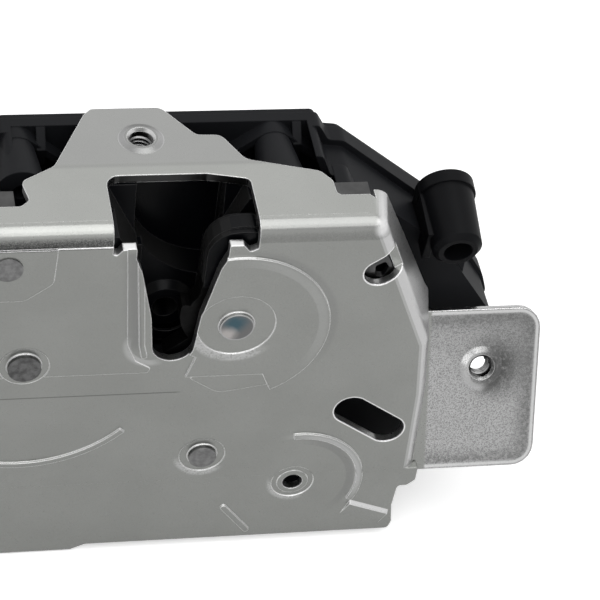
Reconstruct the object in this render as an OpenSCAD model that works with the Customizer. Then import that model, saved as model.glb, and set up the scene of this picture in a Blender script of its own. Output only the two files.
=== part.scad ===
// Tailgate lock: striker plate, catch, pawl, geared release drive and plastic housing.
// X runs to the right, Y to the back, Z up. Millimetres.

/* [Striker plate] */
// Sheet thickness of the striker plate
sheet_t = 2; // [1.6:0.1:2.2]
// Height of the flange's top surface above the plate's lower edge
plate_h = 98.3; // [96:0.1:102]
// Half width of the front face at the lower end of the side walls
face_half_w = 60.6; // [59:0.1:62]
// Half width of the front face at the top
face_top_half_w = 42.6; // [41:0.1:44]
// Height where the sloping side edge meets the steep one
shoulder_z = 62; // [58:0.5:66]
// Outer radius of the bends
bend_r = 3.5; // [3:0.1:4.5]
// How far the side walls lean outwards over the wall depth
wall_lean = 4; // [2:0.5:5]
// Height of the raised fields on the front face
emboss_h = 0.5; // [0.3:0.1:0.8]
// Height of the lower edge's step at the right
edge_step = 1.6; // [0:0.1:3]

/* [Flange and tongue] */
// Depth of the flange beside the tongue
flange_y = 9.4; // [8:0.1:11]
// Depth of the tongue's tip
tongue_y = 39.2; // [37:0.1:41]
// Half width of the tongue's tip
tongue_half_w = 8.4; // [7:0.1:10]
// Place of the tongue's thread across
tongue_hole_x = -5.7; // [-8:0.1:-3]
// Place of the tongue's thread in depth
tongue_hole_y = 28.9; // [26:0.1:31]

/* [Ears] */
// Half of the overall width over the ears
ear_half_w = 88.3; // [86:0.1:91]
// Height of an ear along its own slope
ear_h = 38.6; // [36:0.1:41]
// Height of the ear's lower edge
ear_z = 21; // [20:0.1:23]
// Tilt of the ears
ear_tilt = 25; // [20:1:28]
// Corner radius of the ears
ear_corner_r = 5; // [3:0.5:7]
// Distance of the ear threads from the middle
ear_hole_x = 74.7; // [73:0.1:77]
// Place of the ear threads up the slope
ear_hole_s = 23.4; // [21:0.1:26]
// Core radius of the M6 threads
thread_r = 2.5; // [2.4:0.05:2.6]
// Outer radius of the plunged collars
collar_r = 4.1; // [3.8:0.1:4.5]
// Length of the plunged threads
thread_len = 5; // [4:0.5:6]

/* [Striker mouth] */
// Half width of the slot at its closed end
slot_r = 4.5; // [4:0.1:5]
// Height of the slot's end centre
slot_z = 64.7; // [63:0.1:66]
// Half width of the slot below the lips
slot_top_half_w = 9.7; // [9:0.1:10.5]
// Left side of the mouth
mouth_left = 14.7; // [14:0.1:15.5]
// Right side of the mouth
mouth_right = 15.8; // [15:0.1:16.5]
// Depth of the mouth
mouth_y = 17.3; // [16.5:0.1:18]
// Depth of the wall behind the slot
pocket_y = 15; // [14:0.1:15.4]

/* [Catch] */
// Catch pivot, to the right of the slot
catch_x = 13.2; // [12.8:0.1:13.6]
// Catch pivot height
catch_z = 70.5; // [70:0.1:71]
// Radius of the catch pin
catch_pin_r = 3.75; // [3.5:0.05:4]
// Thickness of the steel catch
catch_t = 4; // [3.5:0.1:4.2]
// Angle between open and latched
catch_turn = 50; // [48:1:50]
// Radius of the ratchet tooth
tooth_r = 18.5; // [18.2:0.1:18.6]
// Radius of the catch beside the tooth
catch_r = 14.5; // [14:0.1:14.6]
// Play of a running fit, on the radius
run_play = 0.05; // [0.02:0.01:0.1]

/* [Pawl] */
// Pawl pivot, to the left of the slot
pawl_x = -31.7; // [-32:0.1:-31.4]
// Pawl pivot height
pawl_z = 60.3; // [60:0.1:60.6]
// Radius of the pawl pin
pawl_pin_r = 3.6; // [3.4:0.05:3.8]
// Angle between lifted and latched
pawl_turn = 5.5; // [5.4:0.1:5.6]
// Half width of the pawl's lever
pawl_half_w = 3; // [2.6:0.1:3.1]

/* [Drive] */
// Gear module
gear_mod = 0.8; // [0.78:0.01:0.8]
// Teeth of the drive gear
gear_teeth = 32; // [32:1:32]
// Width of the gear
gear_w = 7; // [6:0.5:8]
// Radius of the gear pin
gear_pin_r = 2.5; // [2:0.1:3]
// Turn of the gear from lifted to latched
gear_turn = 120; // [110:5:125]
// Height of the gear pin
gear_z = 43.8; // [43.7:0.05:43.9]
// Pitch radius of the worm
worm_r = 3; // [3:0.1:3.4]
// Radius of the motor can
motor_r = 12; // [11:0.1:12.4]
// Length of the motor can
motor_len = 30; // [26:0.5:31]
// Depth of the motor and gear plane
drive_y = 27.5; // [27:0.1:27.8]

/* [Housing] */
// Wall thickness of the mouldings
wall = 2.4; // [2:0.1:2.8]
// Back of the housing
house_back = 41.3; // [41:0.1:42]
// Height of the housing's back wall
house_h = 94.5; // [92:0.1:96]
// Floor height of the open trough
trough_z = 81; // [80:0.1:82]
// Thickness of the rear cover
cover_t = 2.3; // [2:0.1:2.6]
// Radius of the guide boss
boss_r = 6; // [5.5:0.1:6.4]
// Bore radius of the guide boss
boss_bore_r = 3.25; // [3:0.05:3.5]
// Length of the guide boss
boss_len = 15; // [14:0.5:16]
// Tilt of the guide boss
boss_tilt = 11; // [8:1:14]

/* [Hidden] */
$fn = 48;
seat = 0.25;
join = 0.005;
pin_out = 1.1;
cover_back = house_back + cover_t;
mid_y = (cover_back + 0.9 - pin_out) / 2;
top_z = 98.3;
low = top_z - plate_h;
ear_base = ear_z + low;
bend_z = top_z - bend_r;
wall_depth = 24;
ear_y = sheet_t;
ear_top_y = ear_y + ear_h * sin(ear_tilt);
catch_y0 = sheet_t + 1.6;
catch_y1 = catch_y0 + catch_t;
inner_y0 = catch_y1 + 2;
inner_t = 1.5;
inner_y1 = inner_y0 + inner_t;
tab_z = 93.6;
liner_back = 24.4;
house_y0 = inner_y1 + seat;
wing_y = ear_top_y + 5.5;
rivet_a = [-36.2, 89.1];
rivet_b = [9.4, 29.8];
round_hole = [31.2, 19.4];
gear_pitch_r = gear_mod * gear_teeth / 2;
pitch_len = PI * gear_mod;
lug_dx = 12.2;
lug_r = 1.8;
lug_x = pawl_x - lug_dx;
gear_x = lug_x;
cam_r = 9.6;
cam_drop = 1.3;
cam_y0 = house_y0 + wall + 1.5;
cam_y1 = drive_y - gear_w / 2;
lug_z = gear_z + cam_r + seat + lug_r;
worm_z = gear_z - gear_pitch_r - worm_r;
worm_pitches = 6;
worm_x0 = gear_x - 3 * pitch_len;
worm_len = worm_pitches * pitch_len;
motor_x0 = worm_x0 + worm_len + 7;
shaft_r = 1;
boss_x = 64.8;
boss_y = 30;
boss_z = 78;
post_x = [-31.4, 24.7];
post_r = 3.6;
post_y = 22;
hood_z = 90.2;
hood_r = 4.2;
hood_y = 35;
hood_slope = 37.6;
rim_y = 36.5;
trough_back = house_back - 2.8;
double_y = sheet_t + 1;
switch_r = 15;
switch_push = 1.2;
switch_x = catch_x + switch_r + seat;
seat_r = 4.6;
seat_x = 0.9;
seat_z = 77.4;

function unit(v) = v / norm(v);
function corner(p, v, q, r, n) = r <= 0 ? [v] :
    let (u = unit(p - v), w = unit(q - v), th = acos(u * w), t = r / tan(th / 2),
        c = v + unit(u + w) * (r / sin(th / 2)), s = v + u * t - c, a0 = atan2(s[1], s[0]),
        sw = (180 - th) * (u[0] * w[1] - u[1] * w[0] > 0 ? -1 : 1))
    [for (i = [0 : n]) c + r * [cos(a0 + sw * i / n), sin(a0 + sw * i / n)]];
// Outline with rounded corners from [x, y, radius] corners
function rounded(pts, n = 5) = [for (i = [0 : len(pts) - 1])
    let (k = len(pts), p = pts[(i + k - 1) % k], v = pts[i], q = pts[(i + 1) % k])
    each corner([p[0], p[1]], [v[0], v[1]], [q[0], q[1]], v[2], n)];
function inset(pts, d) = [for (i = [0 : len(pts) - 1])
    let (k = len(pts), v = pts[i], u = unit(pts[(i + k - 1) % k] - v), w = unit(pts[(i + 1) % k] - v))
    v + unit(u + w) * (d / sin(acos(u * w) / 2))];
function mirrored(pts) = [for (i = [len(pts) - 1 : -1 : 0]) [-pts[i][0], pts[i][1]]];
function both(pts) = concat(pts, mirrored(pts));
function polar(c, r, a) = c + r * [cos(a), sin(a)];

// Everything is drawn down from the flange's top and lifted to stand on the plate's lower edge
module placed() { translate([0, -mid_y, -low]) children(); }
// Profile in X and Z, extruded from depth y0 to y1
module upright(y0, y1) { translate([0, y1, 0]) rotate([90, 0, 0]) linear_extrude(y1 - y0) children(); }
module rod(p, r, y0, y1) { translate([p[0], y1, p[1]]) rotate([90, 0, 0]) cylinder(r = r, h = y1 - y0); }
module block(a, b) { translate(a) cube(b - a); }
// Bar with round ends from a to b, drawn flat; its sides stop a hair short of the circles' tangents
module link(a, b, r) {
    translate(a) circle(r);
    translate(b) circle(r);
    translate(a) rotate(atan2(b[1] - a[1], b[0] - a[0])) translate([0, join - r]) square(
        [norm(b - a), 2 * (r - join)]);
}
// Ring cut in the front face
module ring_groove(p, r0, r1, d) {
    difference() {
        rod(p, r1, -1, d);
        rod(p, r0, -2, d + 1);
    }
}

// Outline of the folded front, right half, from the lower end up
front_right = [[face_half_w, -10], [face_half_w - 1.4, shoulder_z - 16], [face_half_w - 3, shoulder_z],
    [face_top_half_w, top_z]];
front_outline = both(front_right);
back_outline = both([for (p = front_right) p + [p[1] > 0 ? wall_lean : 0.5, p[1] == shoulder_z ? 1 : 0]]);

// Closed block whose skin is the sheet's outer (r = bend_r) or inner surface
module folded_block(r) {
    hull() {
        for (p = inset(front_outline, bend_r))
            translate([p[0], bend_r, p[1]]) sphere(r, $fn = 32);
        for (p = inset(back_outline, bend_r))
            translate([p[0], wall_depth, p[1]]) rotate([90, 0, 0]) cylinder(r = r, h = 0.01, $fn = 32);
    }
}

flange_outline = [[-face_top_half_w - 2, -1, 0], [-face_top_half_w - 2, flange_y - 0.9, 0],
    [-33.1, flange_y - 0.9, 1], [-31.2, 10.3, 1.2], [-32.4, 16.2, 2], [-25, 20.8, 3],
    [tongue_hole_x - 17.6 + 6.2, tongue_y - 2, 0.5], [-tongue_half_w - 7, tongue_y, 1.5],
        [-0.2, tongue_y, 2.5],
    [6.3, 29.9, 2], [11.6, 29.7, 2.5], [15.8, 21.6, 3], [31.2, 17.2, 2.5], [33.4, 14, 1.5],
    [33.6, flange_y, 1.2], [face_top_half_w - 2.1, flange_y, 0.3],
        [face_top_half_w - 0.3, flange_y - 2.2, 0.6],
    [face_top_half_w + 0.5, flange_y + 1.2, 0], [face_top_half_w + 6, flange_y + 1.2, 0],
    [face_top_half_w + 6, -1, 0]];

// Side view of what stays of the side walls: [depth, height]
side_keep = [[-1, ear_base], [ear_y + sheet_t, ear_base],
    [ear_top_y + sheet_t - 0.3, ear_base + ear_h * cos(ear_tilt) - 1],
    [ear_top_y + 1, ear_base + ear_h * cos(ear_tilt) + 0.5], [15.5, 66 + low], [flange_y + 2.2, top_z - 6],
    [flange_y + 1.2, top_z + 1], [-1, top_z + 1]];

lower_right = [[face_half_w - 4.6, edge_step, 1], [face_half_w - 4, 4, 0.5], [face_half_w - 4.7, 9.6, 2],
    [face_half_w - 4.2, 16.3, 1], [face_half_w - 2, 16.2, 1], [face_half_w - 0.2, 18, 1],
        [face_half_w - 0.2, ear_z + 1, 0]];
lower_left = [[face_half_w - 4.6, 0, 1], each [for (i = [1 : 6]) lower_right[i]]];
lower_outline = [for (p = concat([[-18.7, 0, 0.8], [-15.3, edge_step, 0.8]], lower_right,
    [for (i = [6 : -1 : 0]) [-lower_left[i][0], lower_left[i][1], lower_left[i][2]]])) [p[0], p[1] + low,
        p[2]]];

// Slot with the lips below the mouth, right half from the slot's end up
function slot_side(s, m) = [[s * slot_r, slot_z, 0], [s * 5.3, 73.2, 4], [s * 8.3, 87, 6],
    [s * slot_top_half_w, 90.3, 1], [s * slot_top_half_w, 93.6, 1], [s * 12.2, 93.8, 1.3],
        [s * 14.2, 91.3, 0.6],
    [s * m, 92.2, 0], [s * m, top_z + 2, 0]];
slot_outline = concat(slot_side(1, mouth_right), [for (i = [8 : -1 : 0]) slot_side(-1, mouth_left)[i]]);

module ear(s) {
    translate([0, ear_y, ear_base]) rotate([-ear_tilt, 0, 0]) upright(0, sheet_t)
        polygon(rounded([[s * (face_half_w - 2), -1.3, 0], [s * ear_half_w, -1.3, ear_corner_r],
            [s * ear_half_w, ear_h - 1.3, ear_corner_r], [s * (face_half_w - 1), ear_h - 1.3, 0]]));
}
// Everything in the right ear's own plane: the collar, its lead-in and its bore
module at_ear(s) { translate([0, ear_y, ear_base]) rotate([-ear_tilt, 0, 0]) translate(
    [s * ear_hole_x, 0, ear_hole_s]) children(); }
// Plunged collar on -Y: the sheet's front at y = 0, the thread runs back
module collar() {
    rotate([-90, 0, 0]) {
        cylinder(r = collar_r, h = thread_len - 0.6);
        translate([0, 0, -0.6]) cylinder(r1 = collar_r - 0.5, r2 = collar_r + 0.9, h = 0.61);
    }
}
module collar_bore() {
    rotate([-90, 0, 0]) {
        translate([0, 0, -3]) cylinder(r = thread_r, h = thread_len + 8);
        translate([0, 0, -0.61]) cylinder(r1 = thread_r + 0.6, r2 = thread_r, h = 0.6);
    }
}
module at_tongue() { translate([tongue_hole_x, tongue_hole_y, top_z]) rotate([-90, 0, 0]) children(); }

// Raised fields of the front face, drawn in X and Z and kept off the bends
module on_flat() {
    intersection() {
        children();
        polygon(inset(front_outline, bend_r + 0.8));
    }
}
module left_field() {
    polygon(rounded([[-50, top_z, 0], [-12.2, top_z, 0], [-11.4, 88, 6], [-9.9, 65.5, 6],
        [-7.8, 60.6, 1.5], [-4.4, 58.3, 0.6],
        [-5, 57, 0.5], [-50, 57, 1]]));
}
// Narrow strip pressed beside the slot's left side
module slot_strip() {
    polygon(rounded([[-9.4, 90, 0.3], [-8, 90, 0.3], [-6.2, 65.3, 2], [-5.4, 62, 0.4], [-6.6, 61.4, 0.4],
        [-7.4, 65.4, 2]]));
}
module rivet_field() {
    polygon(rounded([[-50, 95.2, 1], [-26, 95.2, 1.5], [-26.6, 84.6, 2], [-32.4, 79.9, 3],
        [-50, 79.9, 1]]));
}
module catch_field() {
    intersection() {
        translate([catch_x - 0.4, catch_z - 1.5]) circle(20.9, $fn = 72);
        polygon([[0, 95], [24, 95], [40, 70], [24.6, 49], [22.4, 50.6], [20.4, 55.4], [3.4, 55.4], [5.2, 61.4], [0, 64]]);
    }
}
// Leaf below the catch pin, where two pressings meet
module leaf() {
    polygon(rounded([[3.4, 55.4, 0.6], [20.4, 55.4, 1.2], [22.4, 52, 0.6], [11, 49.9, 4]]));
}
// Ramp at the lower right corner, high along its upper line and running out at the edge
module corner_ramp() {
    translate([face_half_w - 15, 0, low + 11.8]) rotate([0, 23, 0]) rotate([90, 0, 90]) linear_extrude(10.4)
        polygon([[0.2, 0.5], [-emboss_h - 0.3, -0.4], [-emboss_h - 0.2, -1], [0.2, -5.6]]);
}
module arc_bead(c, r, w, a0, a1) {
    pts = concat([for (i = [0 : 16]) polar(c, r + w / 2, a0 + (a1 - a0) * i / 16)],
        [for (i = [16 : -1 : 0]) polar(c, r - w / 2, a0 + (a1 - a0) * i / 16)]);
    polygon(pts);
}

module striker_plate() placed() {
    color("silver") difference() {
        union() {
            difference() {
                union() {
                    intersection() {
                        folded_block(bend_r);
                        union() {
                            block([-70, -1, ear_base], [70, bend_r + 0.1, top_z + 1]);
                            translate(
                                [0, 0, bend_z - 0.6]) linear_extrude(bend_r + 2) polygon(rounded(flange_outline));
                            for (s = [-1, 1])
                                translate([s > 0 ? face_top_half_w - 1 : -70, 0, 0])
                                    rotate(
                                        [90, 0, 90]) linear_extrude(71 - face_top_half_w) polygon(side_keep);
                        }
                    }
                    translate([0, 0, top_z - sheet_t]) linear_extrude(sheet_t) intersection() {
                        polygon(rounded(flange_outline));
                        translate(
                            [-face_top_half_w + bend_r, bend_r]) square([2 * (face_top_half_w - bend_r), tongue_y]);
                    }
                    for (s = [-1, 1]) ear(s);
                    upright(0, sheet_t) polygon(rounded(lower_outline));
                }
                folded_block(bend_r - sheet_t);
            }
            upright(-emboss_h / 2, 0.2) on_flat() left_field();
            upright(-emboss_h, 0.2) slot_strip();
            upright(-emboss_h / 2, 0.2) leaf();
            corner_ramp();
            upright(-emboss_h, 0.2) on_flat() rivet_field();
            upright(-emboss_h, 0.2) catch_field();
            upright(-emboss_h, 0.2) arc_bead(round_hole + [0.3, 0.1], 15.2, 1.5, 96, -26);
            upright(-emboss_h, 0.2) arc_bead([pawl_x, pawl_z], 30.6, 1.3, 240, 317);
            upright(-emboss_h, 0.2) link([15.9, 12], [21.8, 4.2], 0.7);
            for (s = [-1, 1]) at_ear(s) collar();
            at_tongue() collar();
        }
        upright(-2, bend_r + 0.2) polygon(rounded(slot_outline));
        rod([0, slot_z], slot_r, -2, sheet_t + 1);
        translate([0, 0, bend_z - 1.6]) linear_extrude(8)
            polygon(rounded([[-mouth_left, -2, 0], [mouth_right, -2, 0], [mouth_right, mouth_y - 2, 1.5],
                [mouth_right - 9, mouth_y, 2], [-mouth_left, mouth_y, 3]]));
        for (s = [-1, 1]) at_ear(s) collar_bore();
        at_tongue() collar_bore();
        rod([catch_x, catch_z], catch_pin_r, -3, sheet_t + 1);
        rod([pawl_x, pawl_z], pawl_pin_r, -3, sheet_t + 1);
        rod(rivet_a, 2.6, -3, sheet_t + 1);
        rod(rivet_b, 2.6, -3, sheet_t + 1);
        rod(round_hole, 2.3, -3, sheet_t + 1);
        ring_groove([catch_x, catch_z], catch_pin_r + 0.2, 8.5, -emboss_h + 0.3);
        ring_groove([pawl_x, pawl_z], pawl_pin_r + 0.2, 5.4, 0.1);
        ring_groove(rivet_b, 3.4, 5.2, 0.3);
        ring_groove(round_hole, 3.6, 4.9, 0.25);
        upright(-2, sheet_t + 1) link([42.8, 84], [46.2, 86.6], 3.4);
        upright(-2, sheet_t + 1) link([42.1, 42.2], [51.1, 35.5], 4);
        upright(-2, sheet_t + 1) link([-42.1, 42.2], [-51.1, 35.5], 4);
    }
}

module inner_plate() placed() {
    color("lightgray") difference() {
        union() {
            upright(inner_y0, inner_y1)
                polygon(rounded([[-34, 12, 4], [34, 12, 4], [36, 48, 6], [50, 56, 5], [47, 78, 4],
                    [42.4, tab_z, 1], [33.6, tab_z, 1],
                    [31, 88, 2], [-31, 88, 2], [-33.6, tab_z, 1], [-42.4, tab_z, 1], [-47, 78, 4],
                        [-53, 62, 5], [-53, 48, 6]]));
            for (s = [-1, 1])
                block([s > 0 ? 33.6 : -42.4, inner_y0 + 0.2, tab_z - inner_t],
                    [s > 0 ? 42.4 : -33.6, 18.6, tab_z]);
            // corner drawn forward behind the upper right slot
            upright(double_y, double_y + inner_t) polygon(rounded([[38.4, 79, 0.5], [47.4, 79, 1],
                [46, 84, 3], [43.9, 88.6, 2],
                [38.4, 88.6, 0.5]]));
            block([38.4, double_y + 0.1, 79.6], [38.4 + inner_t, inner_y0 + 0.2, 88]);
        }
        upright(inner_y0 - 1, inner_y1 + 8) polygon(rounded([[-7.4, 52.6, 3], [7.4, 52.6, 3], [7.4, 82, 2],
            [mouth_right + 2, 84, 1], [mouth_right + 2, 100, 0], [-mouth_left - 2, 100, 0],
                [-mouth_left - 2, 84, 1],
            [-7.4, 82, 2]]));
        rod([catch_x, catch_z], catch_pin_r - 0.75, inner_y0 - 1, inner_y1 + 1);
        rod([pawl_x, pawl_z], pawl_pin_r - 0.6, inner_y0 - 1, inner_y1 + 1);
        rod(rivet_a, 2.6, inner_y0 - 1, inner_y1 + 1);
        rod(rivet_b, 2.6, inner_y0 - 1, inner_y1 + 1);
        rod([lug_x, lug_z - 0.5], lug_r + 2.4, inner_y0 - 1, inner_y1 + 1);
        upright(double_y - 1, double_y + inner_t + 1)
            polygon(rounded([[42.8, 80.6, 0.6], [44.6, 80.2, 0.6], [45.6, 83, 0.6], [44.6, 84.6, 0.6],
                [42.6, 83.4, 0.6]]));
    }
}

module catch_pin() placed() {
    color("gainsboro") union() {
        rod([catch_x, catch_z], catch_pin_r, -pin_out, inner_y0 - seat / 5);
        rod([catch_x, catch_z], catch_pin_r - 0.75, 0, inner_y1 + 0.7);
        rod([catch_x, catch_z], catch_pin_r + 0.5, inner_y1, inner_y1 + 0.7);
    }
}
module pawl_pin() placed() {
    color("gainsboro") union() {
        rod([pawl_x, pawl_z], pawl_pin_r, -pin_out, inner_y0 - seat / 5);
        rod([pawl_x, pawl_z], pawl_pin_r - 0.6, 0, inner_y1 + 0.7);
        rod([pawl_x, pawl_z], pawl_pin_r + 0.4, inner_y1, inner_y1 + 0.7);
    }
}
module spacer_rivets() placed() {
    color("gainsboro") for (p = [rivet_a, rivet_b]) union() {
        rod(p, 2.6, -0.55, inner_y1 + 0.7);
        rod(p, 3.1, -emboss_h - 0.35, -emboss_h);
        rod(p, 2.9, -emboss_h - 0.01, p == rivet_a ? -emboss_h + 0.01 : 0);
        rod(p, 4.4, sheet_t + 0.02, inner_y0);
        rod(p, 2.8, inner_y1, inner_y1 + 0.7);
    }
}

// Radius of the catch's rim at angle a, seen from the front with the catch open
function rim_r(a) = a < 168 ? 11.65
    : a < 219 ? 11.65
    : a < 235 ? tooth_r
    : a < 244 ? tooth_r - (tooth_r - catch_r) * (a - 235) / 9
    : a < 296 ? catch_r
    : a < 310 ? catch_r + (switch_r + switch_push - catch_r) * (a - 296) / 14
    : a < 362 ? switch_r + switch_push * (360 - a) / catch_turn
    : switch_r - 0.05;
module catch_disc() {
    polygon(concat([[catch_x, catch_z]], [for (a = [166 : 2 : 218]) polar([catch_x, catch_z], 11.65, a)],
        [for (a = [219 : 1 : 380]) polar([catch_x, catch_z], rim_r(a), a)]));
}
module catch_finger() {
    polygon(rounded([[9, 66, 0], [3, 71.5, 0], [5.6, 78, 0], [6.2, 88, 3], [8.6, 93.2, 3], [17, 93.4, 3.5],
        [24, 84, 6], [26.9, 74.5, 0], [22, 66, 0]]));
}
module catch() placed() {
    color("dimgray") difference() {
        union() {
            upright(catch_y0, catch_y1) catch_disc();
            upright(catch_y0, catch_y1) catch_finger();
            rod([catch_x, catch_z], 9, catch_y0, catch_y1);
        }
        rod([seat_x, seat_z], seat_r, catch_y0 - 1, catch_y1 + 1);
        rod([catch_x, catch_z], catch_pin_r + run_play, catch_y0 - 1, catch_y1 + 1);
        upright(catch_y0 - 1, catch_y1 + 1) polygon(rounded([[3.8, 79, 0.5], [8.6, 79, 0.5],
            [8.6, 86, 2], [17, 86, 2],
            [17, 96, 0.5], [3.8, 96, 0.5]]));
    }
}
// Plastic overmould on the catch's finger
module catch_cover() placed() {
    color("#17181a") difference() {
        union() {
            upright(catch_y0 - 0.8, catch_y1 + 1.2) polygon(rounded([[5.7, 79, 0.3], [5.7, 94.4, 6.5],
                [16.8, 94.4, 1.5], [16.8, 86.2, 2], [8.4, 86.2, 2], [8.4, 79.2, 0.5]]));
            upright(catch_y0 + 0.6, catch_y1 + 0.4) polygon(rounded([[5.6, 79.2, 0.3], [5.6, 94.8, 7],
                [16.8, 94.8, 1.5], [16.8, 86.2, 2], [8.4, 86.2, 2], [8.4, 79.2, 0.5]]));
        }
    }
}

module torus_at(p, r, w, y) {
    translate([p[0], y, p[1]]) rotate([90, 0, 0]) rotate_extrude() translate([r, 0]) circle(w, $fn = 16);
}
module catch_spring() placed() {
    color("slategray") union() {
        for (i = [0, 1]) torus_at([catch_x, catch_z], 5.2, 0.42, catch_y1 + 0.55 + i * 0.78);
        translate([catch_x + 5.3, catch_y1 + 1.3, catch_z]) cylinder(r = 0.42, h = 16, $fn = 16);
        translate([catch_x + 5.1, catch_y1 + 0.6, catch_z]) rotate([0, 180, 0]) cylinder(r = 0.42,
            h = 10, $fn = 16);
    }
}

pawl_dir = atan2(48.5 - pawl_z, 10 - pawl_x);
// The pawl drawn latched, nose against the tooth
module pawl_shape() {
    difference() {
        union() {
            translate([pawl_x, pawl_z]) circle(7.4);
            link([pawl_x, pawl_z], [9, 48.7], pawl_half_w);
            polygon(rounded([[3, 47, 0], [11.9, 45.6, 1.5], [11.4, 55.2, 0.8], [8.8, 55.2, 1],
                [6.6, 50, 1]]));
        }
        translate([catch_x, catch_z]) circle(catch_r + 0.5, $fn = 72);
    }
}
module pawl() placed() {
    color("dimgray") difference() {
        union() {
            upright(catch_y0, catch_y1) translate(
                [pawl_x, pawl_z]) rotate(-pawl_turn) translate([-pawl_x, -pawl_z]) pawl_shape();
            upright(catch_y0, catch_y1) link([pawl_x, pawl_z], [lug_x, lug_z], 3.2);
            rod([lug_x, lug_z], lug_r, catch_y1 - 0.1, cam_y1 - 0.8);
        }
        rod([pawl_x, pawl_z], pawl_pin_r + run_play, catch_y0 - 1, catch_y1 + 1);
    }
}
module pawl_spring() placed() {
    color("slategray") union() {
        for (i = [0, 1]) torus_at([pawl_x, pawl_z], 4.9, 0.42, catch_y1 + 0.55 + i * 0.78);
        translate([pawl_x + 5, catch_y1 + 1.3, pawl_z]) cylinder(r = 0.42, h = 14, $fn = 16);
        translate([pawl_x - 4.8, catch_y1 + 0.6, pawl_z]) rotate([0, 180, 0]) cylinder(r = 0.42, h = 9,
            $fn = 16);
    }
}
module stop_buffer() placed() {
    color("#202020") union() {
        upright(sheet_t + 0.02, inner_y0) polygon(rounded([[26.5, 86, 1], [33, 86, 1], [33, 92, 1],
            [24, 92, 1], [24, 89.5, 1]]));
    }
}

module mouth_liner() placed() {
    x0 = -mouth_left - 1.6;
    x1 = mouth_right + 1.6;
    top = top_z - sheet_t - seat;
    color("#15161a") difference() {
        union() {
            block([x0, house_y0, 52], [x1, liner_back, top]);
            block([x0, sheet_t + 0.6, 84.8], [-6.4, house_y0 + 1, bend_z - 0.5]);
            block([-7.1, sheet_t + 1, 57.2], [7.1, house_y0 + 1, slot_z - slot_r + 1.4]);
        }
        hull() {
            block([-mouth_left + 0.5, -2, top], [mouth_right - 0.5, mouth_y - 0.4, top + 1]);
            block([-7.6, -2, 84], [9.4, pocket_y, 85]);
        }
        block([-6.6, -2, slot_z], [6.6, pocket_y, 90]);
        rod([0, slot_z], 5, -2, pocket_y);
        block([6, -2, 57], [20, house_y0 - 0.01, 110]);
        block([-6.6, house_y0 - 1, 40], [6.6, pocket_y, slot_z]);
        intersection() {
            block([-8, pocket_y - 1, 60], [11, liner_back - 1.8, top + 1]);
            rod([10.3, 90.5], 19, pocket_y - 2, 30);
        }
        block([-8, pocket_y + 2, 84], [9.5, liner_back - 1.8, top + 1]);
        rod([catch_x, catch_z], catch_pin_r + 1.2, house_y0 - 1, house_y0 + 1);
        rod([catch_x, catch_z], 25.2, -1, inner_y0 + 0.1);
        rod([0, slot_z - 1], 2.8, pocket_y - 3, pocket_y + 8);
        block([x1 - 5, 17, 40], [x1 + 2, 40, 66]);
        block([x0 - 2, 17, 40], [x0 + 5, 40, 66]);
    }
    color("#15161a") difference() {
        translate([0, pocket_y + 0.01, slot_z - 1]) rotate([90, 0, 0]) cylinder(r1 = 6.4, r2 = 5.2,
            h = 1.8);
        rod([0, slot_z - 1], 2.8, pocket_y - 3, pocket_y + 8);
    }
}

// Housing outlines, half of the width, from the bottom up; on the right the lower corner is left out
// so that the ear's thread stays open to the back
house_left = [[78, 0, 4], [84.6, 6, 5], [84.6, 32, 6], [79.7, 48, 10], [66, 69.5, 6], [41, 90, 3],
    [37.4, 90.4, 1.5],
    [35, house_h, 1.5]];
house_right = concat([[64.6, 0, 3], [66.4, 26, 5], [81.6, 42, 3]], [for (i = [3 : 7]) house_left[i]]);
// Outline in front of the rim, a step lower along the shoulder
ledge_top = [[79, 47.4, 10], [64.6, 68.6, 6], [40.6, 88.4, 3], [36.2, 89, 1.5], [34, house_h, 1.5]];
ledge_left = concat([[78, 0, 4], [84.6, 6, 5], [84.6, 32, 6]], ledge_top);
ledge_right = concat([[64.6, 0, 3], [66.4, 26, 5], [81.3, 41.7, 3]], ledge_top);
cover_left = [[77.5, 0, 4], [84, 6, 5], [84, 32, 6], [79, 48, 10], [65.4, 69, 6], [40.6, 89, 3],
    [37, 89.4, 1.5],
    [34.6, house_h - 1, 1.5]];
cover_right = concat([[64.2, 0, 3], [66, 26.2, 5], [81, 42, 3]], [for (i = [3 : 7]) cover_left[i]]);
room_left = [[77, wall, 2], [82.2, 7, 3], [82.2, 31, 4], [77.5, 46.5, 8], [63, 68, 5],
    [52, trough_z - wall, 2]];
room_right = concat([[62.2, wall, 1.5], [64, 27.2, 4], [78.8, 42.8, 2]], [for (i = [3 : 5]) room_left[i]]);
trough_half = [[47.6, trough_z, 0], [39, 87.8, 2], [34.6, 88.6, 2], [32.4, 94, 1], [32.4, 110, 0]];
front_part_right = [[face_half_w - 4.6, 0, 2], [face_half_w - 2.2, 30, 3],
    [face_half_w - 5.8, shoulder_z, 3],
    [face_top_half_w - 3.4, 92, 2]];
front_room = [[face_half_w - 7.6, wall, 1], [face_half_w - 5.6, 30, 2], [face_half_w - 9.1, shoulder_z, 2],
    [face_top_half_w + 5.4, trough_z - wall, 1]];
function sides(right, left) = concat(right, [for (i = [len(left) - 1 : -1 : 0]) [-left[i][0], left[i][1],
    left[i][2]]]);
function half_both(pts) = sides(pts, pts);

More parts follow.
